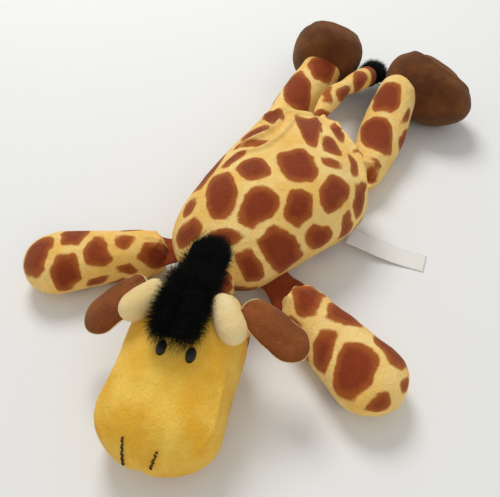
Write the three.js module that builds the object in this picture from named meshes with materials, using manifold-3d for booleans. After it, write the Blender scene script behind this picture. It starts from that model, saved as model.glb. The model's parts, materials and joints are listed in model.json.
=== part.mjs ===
// A floppy plush giraffe, lying limp on its belly on a table.
//
// Millimetres, +Z up, the table at z = 0. The origin is on the table under the belly.
// The muzzle points towards -Y and the feet towards +Y. Left is -X and right is +X,
// as seen by someone who looks over the muzzle towards the feet.
//
// Every limb, ear and the label hangs on a sewn edge: a round bead that turns just
// outside the seam. The neck is a stuffed ball between two hollows.

import * as THREE from 'three';
import { mergeVertices } from 'three/addons/utils/BufferGeometryUtils.js';
import Module from 'manifold-3d';

const wasm = await Module();
wasm.setup();

// Fabric and sewing
const seamGap = 0.3;
const plushWall = 1.6;
const floorCut = 0.5;
const overrun = 6;

// Torso
const torsoLength = 164;
const torsoWidth = 109;
const torsoHeight = 66;
const torsoFront = 66;
const torsoShift = -8;
const torsoFrontRound = 30;
const torsoRearRound = 20;
const torsoWidthShares = [0.6, 0.66, 0.76, 0.87, 0.96, 0.975, 0.87, 0.64, 0.36];
const torsoTopShares = [0.64, 0.78, 0.9, 0.98, 1, 1, 0.95, 0.84, 0.72];
const torsoBottomShares = [0.2, 0.05, 0, 0, 0, 0, 0, 0.1, 0.42];
const torsoLevelShares = [0.45, 0.43, 0.4, 0.38, 0.37, 0.37, 0.41, 0.52, 0.6];
const torsoSwayShares = [0.03, 0.05, 0.035, -0.005, -0.045, -0.062, -0.034, 0.02, 0.04];
const torsoSquareness = 2.3;
const pouchSplitShare = 0.55;

// Neck ball
const neckRadius = 14.5;
const neckRight = -4.5;
const neckForward = 71;
const neckHeight = 31;

// Head
const headLength = 106;
const headWidth = 68;
const headHeight = 58;
const headYaw = -77.7;
const crownOffset = 5;
const crownRound = 22;
const muzzleRound = 27;
const headWidthShares = [0.86, 0.9, 0.94, 0.95, 0.95, 0.96, 0.98, 0.99, 0.97];
const headTopShares = [0.92, 0.99, 1, 0.97, 0.9, 0.84, 0.78, 0.72, 0.62];
const headBottomShares = [0.3, 0.16, 0.06, 0, 0, 0, 0, 0, 0.06];
const headLevelShares = [0.56, 0.52, 0.48, 0.44, 0.42, 0.4, 0.38, 0.36, 0.34];
const headSquareness = 2.5;
const crownSeam = 31;
const chinSeamHeight = 10;

// Face
const eyeWidth = 5.4;
const eyeLength = 8.4;
const eyeThickness = 2.6;
const eyeSpacing = headWidth * 0.23;
const eyeShare = 0.52;
const eyeMiddle = headWidth * 0.038;
const nostrilLength = 13;
const nostrilThread = 1.5;
const nostrilSpacing = headWidth * 0.265;
const nostrilMiddle = headWidth * -0.02;
const nostrilSlant = 3.6;
const nostrilTop = 35;

// Mane and horns
const maneWidth = 25;
const manePile = 9;
const maneSpineShares = [0.5, 0.38, 0.26, 0.16, 0.09];
const maneNapeShare = 0.02;
const maneOverhang = 13;
const maneRoundShare = 0.33;
const maneSquareness = 2.6;
const hornLength = 29;
const hornRadius = 8;
const hornBaseRadius = 6;
const hornSwellShare = 0.5;
const hornTipShare = 1.2;
const hornSpread = headWidth * 0.265;
const hornShare = 0.25;
const hornYaw = 38;
const hornDroop = 13;
const hornLift = 4;
const hornGap = 0.6;

// Ears
const earLength = 42;
const earWidth = 22;
const earThickness = 2.4;
const earLeafShares = [0.2, 0.82];
const earSquareness = 2.4;
const earRootWidth = 8;
const earShare = 0.16;
const earSeamHeight = 49;
const earPoses = {
  left: { yaw: 47, droop: 24, tuck: 0.2 },
  right: { yaw: 24, droop: 15, tuck: 3.1 },
};
const liningInset = 1.2;

// Arms
const armLength = 90;
const armWidth = 46;
const armHeight = 33;
const armRootRadius = 14;
const armTipRound = 22;
const armRise = 0;
const armStrapWidth = 18;
const armWidthShares = [0.68, 0.71, 0.77, 0.85, 0.93, 1, 1];
const armPoses = {
  left: { yaw: 216, seamShare: 0.135, strapLength: 6 },
  right: { yaw: -27, seamShare: 0.17, strapLength: 14 },
};

// Legs
const legLength = 106;
const legWidth = 36;
const legHeight = 33;
const legRootRadius = 13;
const legRise = 22;
const legStrapWidth = 13;
const legWidthShares = [0.72, 0.8, 0.93, 1, 0.98, 0.9, 0.88];
const legPoses = {
  left: { yaw: 86.5, seamShare: 0.835, strapLength: 16 },
  right: { yaw: 94, seamShare: 0.81, strapLength: 6 },
};

// Root straps, the unstuffed stretch between a seam and a stuffed limb
const strapThickness = 3.6;
const strapGap = 0.9;
const mouthDepth = 4.8;

// Bends of a limb: shares of its length and of its rise
const limbBendShares = [0, 0.35, 0.7, 1];
const limbRiseShares = [0, 0, 0.5, 1];

// Feet
const footLength = 76;
const footWidth = torsoWidth * 0.54;
const footHeight = 50;
const footHeelRound = 27;
const footToeRound = 34;
const footWidthShares = [0.94, 0.99, 1, 0.98, 0.92];
const footTopShares = [0.94, 1, 1, 0.94, 0.84];
const footLevelShare = 0.42;
const footSquareness = 2.3;
const ankleRadius = 17;
const ankleFlare = 12;
const soleThickness = 2.2;
const footPoses = {
  left: { yaw: -59, pitch: -41, roll: 157, right: -4, back: 20 },
  right: { yaw: -14, pitch: 12, roll: 139, right: 18, back: 25 },
};

// Tail
const tailLength = 92;
const tailRadius = 8.4;
const tailRootRadius = 3.6;
const tailRise = 3;
const tailDrop = 10;
const tailSide = 9;
const tailBendShares = [0.18, 0.4, 0.7, 1];
const tailSideShares = [0, 0.2, 0.6, 1];
const tailDropShare = 0.35;
const tailSwellShares = [0.42, 0.8, 0.9, 0.7, 0.92, 1, 0.98];
const tuftLength = 40;
const tuftRadius = 9.6;
const tuftBendShares = [0.35, 0.8];
const tuftSideShares = [0.3, 0.6];
const tuftTipShare = 1.5;

// Side label, a folded ribbon
const labelLength = 54;
const labelWidth = 15;
const labelThickness = 0.9;
const labelYaw = 8;
const labelShare = 0.565;
const labelSeamHeight = 9;
const labelBendShares = [0.3, 0.45];
const labelDropShare = 0.3;

// Facets
const bodyRings = 16;
const bodySides = 26;
const innerRings = 8;
const innerSides = 12;
const limbRings = 12;
const limbSides = 16;
const smallRings = 8;
const smallSides = 10;
const arcSteps = 8;
const facetSag = 0.6;

const degrees = THREE.MathUtils.degToRad;
const sides = ['left', 'right'];
const handOf = { left: -1, right: 1 };

// Materials

const plushRoughness = 0.95;
const ribbonRoughness = 0.7;
const threadRoughness = 0.7;

function fabric(color, roughness = plushRoughness) {
  return new THREE.MeshStandardMaterial({ color, roughness, metalness: 0 });
}

const colours = {
  print: 0xe0ad55,
  mustard: 0xe8b23c,
  cream: 0xf4dcab,
  brown: 0x5c351a,
  thread: 0x2a1a12,
  eye: 0x0c0a0a,
  fur: 0x0d0f0d,
  ribbon: 0xe6e2dc,
  fibre: 0xf2f0ea,
  pouch: 0xcfc7b6,
};

// Forms: a form is a swelling body along a spine, closed by a round end at each tip.

// Smooth value between hand-picked shares at equal steps along a form
function blendShares(shares, share) {
  const points = shares.map((value, index) => new THREE.Vector2(index, value));
  return new THREE.SplineCurve(points).getPoint(share).y;
}

// Rises from 0 at a tip to 1 where the round end is over
function roundEnd(reach, round) {
  const left = Math.max(0, 1 - reach / round);
  return Math.sqrt(Math.max(0, 1 - left * left));
}

// The cross-section of a form at a distance from its first tip, thickened by a margin
function sectionAt(form, reach, margin = 0) {
  const length = form.spine.getLength();
  const share = THREE.MathUtils.clamp((reach - margin) / length, 0, 1);
  const tangent = form.upright ? new THREE.Vector3(1, 0, 0) : form.spine.getTangentAt(share);
  const centre = form.spine.getPointAt(share);
  centre.addScaledVector(tangent, reach - margin - share * length);
  const across = new THREE.Vector3(0, 0, 1).cross(tangent).normalize();
  const up = tangent.clone().cross(across);
  const swell = roundEnd(reach, form.startRound + margin)
    * roundEnd(length + 2 * margin - reach, form.endRound + margin);
  return {
    centre,
    across,
    up,
    halfWidth: (form.halfWidth(share) + margin) * swell,
    above: (form.above(share, centre.z) + margin) * swell,
    below: (form.below(share, centre.z) + margin) * swell,
  };
}

// A closed mesh over the cross-sections of a form
function loft(form, margin = 0) {
  const run = form.spine.getLength() + 2 * margin;
  const square = 2 / (form.squareness ?? 2);
  const positions = [];
  const indices = [];
  const put = (point) => positions.push(point.x, point.y, point.z);
  const shaped = (value) => Math.sign(value) * Math.abs(value) ** square;
  put(sectionAt(form, 0, margin).centre);
  for (let ring = 1; ring < form.rings; ring += 1) {
    const reach = run * (1 - Math.cos(Math.PI * ring / form.rings)) / 2;
    const section = sectionAt(form, reach, margin);
    for (let side = 0; side < form.sides; side += 1) {
      const angle = 2 * Math.PI * side / form.sides;
      const rise = shaped(Math.sin(angle));
      const point = section.centre.clone();
      point.addScaledVector(section.across, section.halfWidth * shaped(Math.cos(angle)));
      point.addScaledVector(section.up, rise * (rise > 0 ? section.above : section.below));
      put(point);
    }
  }
  put(sectionAt(form, run, margin).centre);
  const last = (form.rings - 1) * form.sides + 1;
  const at = (ring, side) => 1 + ring * form.sides + (side % form.sides);
  for (let side = 0; side < form.sides; side += 1) {
    indices.push(0, at(0, side + 1), at(0, side));
    indices.push(last, at(form.rings - 2, side), at(form.rings - 2, side + 1));
    for (let ring = 0; ring < form.rings - 2; ring += 1) {
      indices.push(at(ring, side), at(ring, side + 1), at(ring + 1, side));
      indices.push(at(ring, side + 1), at(ring + 1, side + 1), at(ring + 1, side));
    }
  }
  const geometry = new THREE.BufferGeometry();
  geometry.setAttribute('position', new THREE.Float32BufferAttribute(positions, 3));
  geometry.setIndex(indices);
  return geometry;
}

// The same form with fewer facets, for what lies inside
function plain(form) {
  return { ...form, rings: innerRings, sides: innerSides };
}

// A point on the flank of an upright form, at a share of its length and a height,
// with the level direction that faces away from the flank there
function flankAt(form, share, height, hand) {
  const length = form.spine.getLength();
  const pointAt = (reach) => {
    const section = sectionAt(form, reach);
    const rise = height - section.centre.z;
    const tall = rise > 0 ? section.above : section.below;
    const lean = Math.min(1, Math.abs(rise) / tall) ** form.squareness;
    const point = section.centre.clone();
    point.y += hand * section.halfWidth * (1 - lean) ** (1 / form.squareness);
    point.z = height;
    return point;
  };
  const step = length / form.rings;
  const point = pointAt(share * length);
  const along = pointAt(share * length + step / 2).sub(pointAt(share * length - step / 2));
  const away = new THREE.Vector3(along.y, -along.x, 0).multiplyScalar(-hand).normalize();
  return { point, away };
}

// The highest point of an upright form at a share of its length
function crestAt(form, share) {
  const section = sectionAt(form, share * form.spine.getLength());
  return section.centre.clone().setZ(section.centre.z + section.above);
}

// Solids

function solidOf(geometry) {
  const bare = geometry.clone();
  bare.deleteAttribute('normal');
  bare.deleteAttribute('uv');
  const merged = mergeVertices(bare);
  return new wasm.Manifold(new wasm.Mesh({
    numProp: 3,
    vertProperties: Float32Array.from(merged.attributes.position.array),
    triVerts: Uint32Array.from(merged.index.array),
  }));
}

function geometryOf(solid) {
  const mesh = solid.getMesh();
  const geometry = new THREE.BufferGeometry();
  geometry.setAttribute('position', new THREE.BufferAttribute(mesh.vertProperties, 3));
  geometry.setIndex(new THREE.BufferAttribute(mesh.triVerts, 1));
  geometry.computeVertexNormals();
  return geometry;
}

// A geometry of one frame as it stands in another
function seenFrom(target, source, geometry) {
  const move = target.matrixWorld.clone().invert().multiply(source.matrixWorld);
  return solidOf(geometry.clone().applyMatrix4(move));
}

function block(minimum, maximum) {
  const size = new THREE.Vector3().subVectors(maximum, minimum);
  const middle = new THREE.Vector3().lerpVectors(minimum, maximum, 1 / 2);
  return new THREE.BoxGeometry(size.x, size.y, size.z).translate(middle.x, middle.y, middle.z);
}

function ball(radius, centre, wide = innerSides, tall = innerRings) {
  return new THREE.SphereGeometry(radius, wide, tall).translate(centre.x, centre.y, centre.z);
}

// A hollow whose flats stay clear of a ball that turns in it
function ballHollow(radius, centre, wide = innerSides, tall = innerRings) {
  const flats = Math.cos(Math.PI / wide) * Math.cos(Math.PI / tall / 2);
  return ball((radius + seamGap) / flats, centre, wide, tall);
}

// Scene graph

const toy = new THREE.Group();

function frameAt(position, yaw = 0, parent = toy) {
  const frame = new THREE.Group();
  frame.position.copy(position);
  frame.rotation.z = degrees(yaw);
  parent.add(frame);
  toy.updateMatrixWorld(true);
  return frame;
}

function addPiece(frame, name, solid, color, roughness) {
  const mesh = new THREE.Mesh(geometryOf(solid), fabric(color, roughness));
  mesh.name = name;
  frame.add(mesh);
  return mesh;
}

// The table top under a frame, with everything that would reach below it
const tableDepth = footHeight;
const tableReach = torsoLength + headLength + legLength + footLength;
const table = block(
  new THREE.Vector3(-tableReach, -tableReach, -tableDepth),
  new THREE.Vector3(tableReach, tableReach, 0),
);

function pressFlat(frame, solid) {
  return solid.subtract(seenFrom(frame, toy, table));
}

// Where a bead of a given width turns freely beside a flank
function seatBeside(form, frame, { share, height, hand, yaw, beadRadius, beadWidth }) {
  const { point, away } = flankAt(form, share, height, hand);
  const place = point.applyMatrix4(frame.matrixWorld);
  const out = away.transformDirection(frame.matrixWorld);
  const heading = new THREE.Vector3(Math.cos(degrees(yaw)), Math.sin(degrees(yaw)), 0);
  const slant = new THREE.Vector3().crossVectors(heading, out).length();
  return place.addScaledVector(out, beadRadius + seamGap - facetSag + slant * beadWidth / 2);
}

// Torso: a printed skin around a fibre filling and a pouch of pellets

function torsoForm() {
  const spinePoints = torsoLevelShares.map((level, index) => new THREE.Vector3(
    torsoLength * index / (torsoLevelShares.length - 1),
    torsoWidth * torsoSwayShares[index],
    torsoHeight * level,
  ));
  return {
    spine: new THREE.CatmullRomCurve3(spinePoints),
    upright: true,
    halfWidth: (share) => torsoWidth / 2 * blendShares(torsoWidthShares, share),
    above: (share, level) => torsoHeight * blendShares(torsoTopShares, share) - level,
    below: (share, level) => level + floorCut - torsoHeight * blendShares(torsoBottomShares, share),
    startRound: torsoFrontRound,
    endRound: torsoRearRound,
    squareness: torsoSquareness,
    rings: bodyRings,
    sides: bodySides,
  };
}

const torso = torsoForm();
const torsoFrame = frameAt(new THREE.Vector3(torsoShift, -torsoFront, 0), 90);
const neckCentre = new THREE.Vector3(neckRight, -neckForward, neckHeight);
const neckFrame = frameAt(neckCentre);
const origin = new THREE.Vector3();

// The hollow that the neck ball turns in, as it stands in a frame
function neckHollowIn(frame) {
  return seenFrom(frame, neckFrame, ballHollow(neckRadius, origin, limbSides, limbRings));
}

function addTorso() {
  const neckHollow = neckHollowIn(torsoFrame);
  const skin = solidOf(loft(torso)).subtract(solidOf(loft(plain(torso), -plushWall)));
  addPiece(torsoFrame, 'torso_skin', pressFlat(torsoFrame, skin.subtract(neckHollow)), colours.print);
  const inside = solidOf(loft(plain(torso), -plushWall - seamGap)).subtract(neckHollow);
  const split = torsoLength * pouchSplitShare;
  const frontPart = solidOf(block(
    new THREE.Vector3(-overrun, -torsoWidth, -overrun),
    new THREE.Vector3(split - seamGap / 2, torsoWidth, torsoHeight + overrun),
  ));
  const rearPart = solidOf(block(
    new THREE.Vector3(split + seamGap / 2, -torsoWidth, -overrun),
    new THREE.Vector3(torsoLength + overrun, torsoWidth, torsoHeight + overrun),
  ));
  addPiece(torsoFrame, 'torso_filling', inside.intersect(frontPart), colours.fibre);
  addPiece(torsoFrame, 'pellet_pouch', inside.intersect(rearPart), colours.pouch);
}

// Neck: a stuffed ball of printed plush between torso and crown

function addNeck() {
  addPiece(neckFrame, 'neck', solidOf(ball(neckRadius, origin, limbSides, limbRings)), colours.print);
}

// Head: face, chin and crown panels around a fibre filling

function headForm() {
  const spinePoints = headLevelShares.map((level, index) => new THREE.Vector3(
    crownOffset + headLength * index / (headLevelShares.length - 1),
    0,
    headHeight * level,
  ));
  return {
    spine: new THREE.CatmullRomCurve3(spinePoints),
    upright: true,
    halfWidth: (share) => headWidth / 2 * blendShares(headWidthShares, share),
    above: (share, level) => headHeight * blendShares(headTopShares, share) - level,
    below: (share, level) => level + floorCut - headHeight * blendShares(headBottomShares, share),
    startRound: crownRound,
    endRound: muzzleRound,
    squareness: headSquareness,
    rings: bodyRings,
    sides: bodySides,
  };
}

const head = headForm();
const headFrame = frameAt(new THREE.Vector3(neckRight, -neckForward, 0), headYaw);

function addHead() {
  const neckHollow = neckHollowIn(headFrame);
  const hornHollows = sides.map((side) => hornSocket(side));
  const far = headLength + crownOffset + overrun;
  const tall = headHeight + overrun;
  const regions = {
    crown_panel: block(
      new THREE.Vector3(-overrun, -headWidth, -overrun),
      new THREE.Vector3(crownSeam - seamGap / 2, headWidth, tall),
    ),
    face_panel: block(
      new THREE.Vector3(crownSeam + seamGap / 2, -headWidth, chinSeamHeight + seamGap / 2),
      new THREE.Vector3(far, headWidth, tall),
    ),
    chin_panel: block(
      new THREE.Vector3(crownSeam + seamGap / 2, -headWidth, -overrun),
      new THREE.Vector3(far, headWidth, chinSeamHeight - seamGap / 2),
    ),
  };
  const hollows = [neckHollow, ...hornHollows];
  let skin = solidOf(loft(head)).subtract(solidOf(loft(plain(head), -plushWall)));
  let filling = solidOf(loft(plain(head), -plushWall - seamGap));
  for (const hollow of hollows) {
    skin = skin.subtract(hollow);
    filling = filling.subtract(hollow);
  }
  skin = pressFlat(headFrame, skin);
  for (const [name, region] of Object.entries(regions)) {
    const color = name === 'crown_panel' ? colours.print : colours.mustard;
    addPiece(headFrame, name, skin.intersect(solidOf(region)), color);
  }
  addPiece(headFrame, 'head_filling', filling, colours.fibre);
}

// Eyes and nostrils: raised embroidery on the face panel

function addFace() {
  const faceSurface = solidOf(loft(head, seamGap));
  for (const side of sides) {
    const across = eyeMiddle + handOf[side] * eyeSpacing / 2;
    const crest = crestAt(head, eyeShare);
    const slope = crestAt(head, eyeShare + 1 / bodyRings).sub(crest);
    const eye = new THREE.SphereGeometry(1, smallSides, smallRings);
    eye.scale(eyeLength / 2, eyeWidth / 2, eyeThickness);
    eye.rotateY(-Math.atan2(slope.z, slope.x));
    const flank = heightOver(head, eyeShare, across);
    eye.translate(crest.x, across, flank);
    addPiece(headFrame, `eye_${side}`, solidOf(eye).subtract(faceSurface), colours.eye, threadRoughness);

    const stitches = Array.from({ length: arcSteps }, (_, index) => {
      const share = index / (arcSteps - 1);
      const height = nostrilTop - nostrilLength * share;
      const stitchAcross = nostrilMiddle + handOf[side] * (nostrilSpacing / 2 - nostrilSlant * share);
      const tip = crownOffset + headLength - noseSetback(height, stitchAcross);
      return new THREE.Vector3(tip, stitchAcross, height);
    });
    const line = new THREE.CatmullRomCurve3(stitches);
    const thread = new THREE.ExtrudeGeometry(threadSection(), {
      extrudePath: line,
      steps: arcSteps,
      curveSegments: arcSteps,
    });
    const stitch = solidOf(thread).subtract(faceSurface);
    addPiece(headFrame, `nostril_${side}`, stitch, colours.thread, threadRoughness);
  }
}

function threadSection() {
  return new THREE.Shape().absarc(0, 0, nostrilThread, 0, 2 * Math.PI);
}

// Height of an upright form's upper surface at a share of its length, off its middle
function heightOver(form, share, across) {
  const section = sectionAt(form, share * form.spine.getLength());
  const lean = (Math.abs(across - section.centre.y) / section.halfWidth) ** form.squareness;
  return section.centre.z + section.above * (1 - lean) ** (1 / form.squareness);
}

// How far the muzzle's surface lies behind its tip, at a height and off its middle
function noseSetback(height, across) {
  const length = head.spine.getLength();
  let reach = length;
  while (reach > 0) {
    const section = sectionAt(head, reach);
    const rise = height - section.centre.z;
    const tall = rise > 0 ? section.above : section.below;
    const wide = Math.abs(across) / section.halfWidth;
    if (wide ** head.squareness + (Math.abs(rise) / tall) ** head.squareness < 1) {
      return length - reach;
    }
    reach -= seamGap;
  }
  return 0;
}

// Mane: a strip of long pile from the forehead over the crown to the nape

function addMane() {
  const top = maneSpineShares.map((share) => {
    const crest = crestAt(head, share);
    return crest.setZ(crest.z + manePile / 2 - seamGap);
  });
  const nape = crestAt(head, maneNapeShare);
  nape.x -= maneOverhang + crownOffset;
  nape.z = crestAt(head, maneSpineShares[0]).z + manePile / 2;
  const spine = new THREE.CatmullRomCurve3([...top, nape]);
  const mane = {
    spine,
    halfWidth: () => maneWidth / 2,
    above: () => manePile / 2,
    below: () => manePile / 2,
    startRound: maneWidth * maneRoundShare,
    endRound: maneWidth * maneRoundShare,
    squareness: maneSquareness,
    rings: limbRings,
    sides: smallSides,
  };
  let strip = solidOf(loft(mane)).subtract(solidOf(loft(head, seamGap)));
  strip = strip.subtract(neckHollowIn(headFrame));
  for (const side of sides) {
    const horn = loft(hornForm(), seamGap);
    strip = strip.subtract(seenFrom(headFrame, hornFrames[side], horn));
  }
  addPiece(headFrame, 'mane', strip, colours.fur);
}

// Horns: stuffed capsules of cream felt, sewn into the crown seam

function hornForm() {
  const radius = (share) => THREE.MathUtils.lerp(
    hornBaseRadius,
    hornRadius,
    Math.min(1, share / hornSwellShare),
  );
  return {
    spine: new THREE.LineCurve3(
      new THREE.Vector3(-hornBaseRadius, 0, 0),
      new THREE.Vector3(hornLength - hornBaseRadius, 0, 0),
    ),
    halfWidth: radius,
    above: radius,
    below: radius,
    startRound: hornBaseRadius,
    endRound: hornRadius * hornTipShare,
    rings: smallRings,
    sides: smallSides,
  };
}

function hornFrameOf(side) {
  const place = crestAt(head, hornShare);
  place.y = handOf[side] * hornSpread;
  place.z = heightOver(head, hornShare, place.y) + hornLift;
  const frame = frameAt(place, handOf[side] * hornYaw, headFrame);
  frame.rotation.y = degrees(hornDroop);
  frame.rotation.order = 'ZYX';
  toy.updateMatrixWorld(true);
  return frame;
}

const hornFrames = Object.fromEntries(sides.map((side) => [side, hornFrameOf(side)]));

function hornSocket(side) {
  return seenFrom(headFrame, hornFrames[side], loft(hornForm(), hornGap));
}

function addHorns() {
  for (const side of sides) {
    addPiece(hornFrames[side], `horn_${side}`, solidOf(loft(hornForm())), colours.cream);
  }
}

// Ears: a brown plush leaf with a smaller cream lining below it

function earForm(inset, low, high) {
  const half = (share) => {
    const leaf = Math.sin(Math.PI * THREE.MathUtils.lerp(...earLeafShares, share));
    return THREE.MathUtils.lerp(earRootWidth / 2, earWidth / 2, leaf ** 2) - inset;
  };
  return {
    spine: new THREE.LineCurve3(
      new THREE.Vector3(inset, 0, (low + high) / 2),
      new THREE.Vector3(earLength - inset, 0, (low + high) / 2),
    ),
    halfWidth: half,
    above: () => (high - low) / 2,
    below: () => (high - low) / 2,
    startRound: earThickness,
    endRound: earWidth / 2 - inset,
    squareness: earSquareness,
    rings: smallRings + 2,
    sides: smallSides,
  };
}

function addEars() {
  for (const side of sides) {
    const pose = earPoses[side];
    const { point, away } = flankAt(head, earShare, earSeamHeight, handOf[side]);
    const yaw = handOf[side] * (90 - pose.yaw);
    const heading = new THREE.Vector3(Math.cos(degrees(yaw)), Math.sin(degrees(yaw)), 0);
    const slant = new THREE.Vector3().crossVectors(heading, away).length();
    point.addScaledVector(away, earThickness + 2 * seamGap + slant * earRootWidth / 2 - pose.tuck);
    const frame = frameAt(point, yaw, headFrame);
    frame.rotation.order = 'ZYX';
    frame.rotation.y = degrees(pose.droop);
    toy.updateMatrixWorld(true);
    const outer = solidOf(loft(earForm(0, seamGap / 2, earThickness)));
    const lining = solidOf(loft(earForm(liningInset, -earThickness, -seamGap / 2)));
    addPiece(frame, `ear_${side}`, outer, colours.brown);
    addPiece(frame, `ear_${side}_lining`, lining, colours.cream);
  }
}

// Limbs: a flat root strap at the seam, then a stuffed tube that swells and tapers

function limbForm({ strapLength, length, width, height, shares, rootRadius, tipRadius, tipRound, rise }) {
  const level = height / 2 - floorCut;
  const bends = limbBendShares.map((share, index) => new THREE.Vector3(
    strapLength + length * share,
    0,
    level + rise * limbRiseShares[index],
  ));
  const tipStart = 1 - tipRound / length;
  const tipEase = (share) => THREE.MathUtils.smoothstep(share, tipStart - tipRound / length / 2, tipStart);
  return {
    spine: new THREE.CatmullRomCurve3(bends),
    halfWidth: (share) => (share * length < rootRadius
      ? rootRadius
      : THREE.MathUtils.lerp(width / 2 * blendShares(shares, share), tipRadius, tipEase(share))),
    above: (share) => THREE.MathUtils.lerp(height / 2, Math.min(tipRadius, height / 2), tipEase(share)),
    below: (share) => THREE.MathUtils.lerp(height / 2, Math.min(tipRadius, height / 2), tipEase(share)),
    startRound: rootRadius,
    endRound: tipRound,
    squareness: 2,
    rings: limbRings,
    sides: limbSides,
  };
}

function armForm(side) {
  return limbForm({
    strapLength: armPoses[side].strapLength,
    length: armLength,
    width: armWidth,
    height: armHeight,
    shares: armWidthShares,
    rootRadius: armRootRadius,
    tipRadius: armWidth / 2,
    tipRound: armTipRound,
    rise: armRise,
  });
}

function legForm(side) {
  return limbForm({
    strapLength: legPoses[side].strapLength,
    length: legLength,
    width: legWidth,
    height: legHeight,
    shares: legWidthShares,
    rootRadius: legRootRadius,
    tipRadius: ankleRadius,
    tipRound: ankleRadius,
    rise: legRise,
  });
}

function addStrap(frame, name, limb, strapWidth) {
  const { x: strapLength, z: level } = limb.spine.getPointAt(0);
  const bead = strapThickness / 2;
  const outline = new THREE.Shape();
  outline.absarc(0, level, bead, Math.PI / 2, 3 * Math.PI / 2);
  outline.lineTo(strapLength + overrun, level - bead);
  outline.lineTo(strapLength + overrun, level + bead);
  const sheet = new THREE.ExtrudeGeometry(outline, {
    depth: strapWidth,
    bevelEnabled: false,
    curveSegments: arcSteps,
  });
  sheet.rotateX(Math.PI / 2).translate(0, strapWidth / 2, 0);
  const strap = solidOf(sheet).subtract(solidOf(loft(limb, strapGap)));
  addPiece(frame, name, strap, colours.print);
}

function addLimb(frame, name, limb) {
  const skin = solidOf(loft(limb)).subtract(solidOf(loft(plain(limb), -plushWall)));
  const { x: strapLength, z: level } = limb.spine.getPointAt(0);
  const mouth = solidOf(block(
    new THREE.Vector3(0, -strapThickness, level - strapThickness / 2),
    new THREE.Vector3(strapLength + mouthDepth, strapThickness, level + strapThickness / 2),
  ));
  addPiece(frame, name, pressFlat(frame, skin.subtract(mouth)), colours.print);
  const filling = solidOf(loft(plain(limb), -plushWall - seamGap));
  addPiece(frame, `${name}_filling`, filling, colours.fibre);
}

function limbFrame(pose, side, level, strapWidth) {
  const place = seatBeside(torso, torsoFrame, {
    share: pose.seamShare,
    height: level,
    hand: -handOf[side],
    yaw: pose.yaw,
    beadRadius: strapThickness / 2,
    beadWidth: strapWidth,
  });
  return frameAt(place.setZ(0), pose.yaw);
}

function addArms() {
  for (const side of sides) {
    const arm = armForm(side);
    const frame = limbFrame(armPoses[side], side, arm.spine.getPointAt(0).z, armStrapWidth);
    addStrap(frame, `arm_${side}_root`, arm, armStrapWidth);
    addLimb(frame, `arm_${side}`, arm);
  }
}

function addLegs() {
  for (const side of sides) {
    const leg = legForm(side);
    const frame = limbFrame(legPoses[side], side, leg.spine.getPointAt(0).z, legStrapWidth);
    addStrap(frame, `leg_${side}_root`, leg, legStrapWidth);
    addLimb(frame, `leg_${side}`, leg);
    addFoot(side, frame, leg);
  }
}

// Feet: a plump dome, a flat sole and a pellet pouch between them

function footForm() {
  return {
    spine: new THREE.LineCurve3(
      new THREE.Vector3(-footLength / 2, 0, footHeight * footLevelShare),
      new THREE.Vector3(footLength / 2, 0, footHeight * footLevelShare),
    ),
    upright: true,
    halfWidth: (share) => footWidth / 2 * blendShares(footWidthShares, share),
    above: (share, level) => footHeight * blendShares(footTopShares, share) - level,
    below: (share, level) => level,
    startRound: footHeelRound,
    endRound: footToeRound,
    squareness: footSquareness,
    rings: limbRings,
    sides: limbSides + 2,
  };
}

// A frame at the middle of a foot, tilted so that the foot lies on the table
function footFrame(side, ankle) {
  const { yaw, pitch, roll, right, back } = footPoses[side];
  const frame = frameAt(new THREE.Vector3(ankle.x + right, ankle.y + back, 0), yaw);
  frame.rotation.set(degrees(roll), degrees(pitch), degrees(yaw), 'ZYX');
  toy.updateMatrixWorld(true);
  const dome = loft(footForm()).translate(0, 0, -footHeight / 2).applyMatrix4(frame.matrixWorld);
  dome.computeBoundingBox();
  frame.position.z = -dome.boundingBox.min.z - floorCut;
  toy.updateMatrixWorld(true);
  return frame;
}

// The room a leg needs in its foot: a cone that widens from the ankle towards the hip
function flareFrom(leg, ankle) {
  const reach = footWidth;
  const narrow = (ankleRadius + seamGap) / Math.cos(Math.PI / limbSides);
  const wide = narrow + reach * Math.tan(degrees(ankleFlare));
  const cone = new THREE.CylinderGeometry(narrow, wide, reach, limbSides);
  const hipward = leg.spine.getPointAt(1).sub(ankle).negate().normalize();
  const turn = new THREE.Quaternion().setFromUnitVectors(new THREE.Vector3(0, -1, 0), hipward);
  return cone.translate(0, -reach / 2, 0).applyQuaternion(turn).translate(ankle.x, ankle.y, ankle.z);
}

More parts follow.
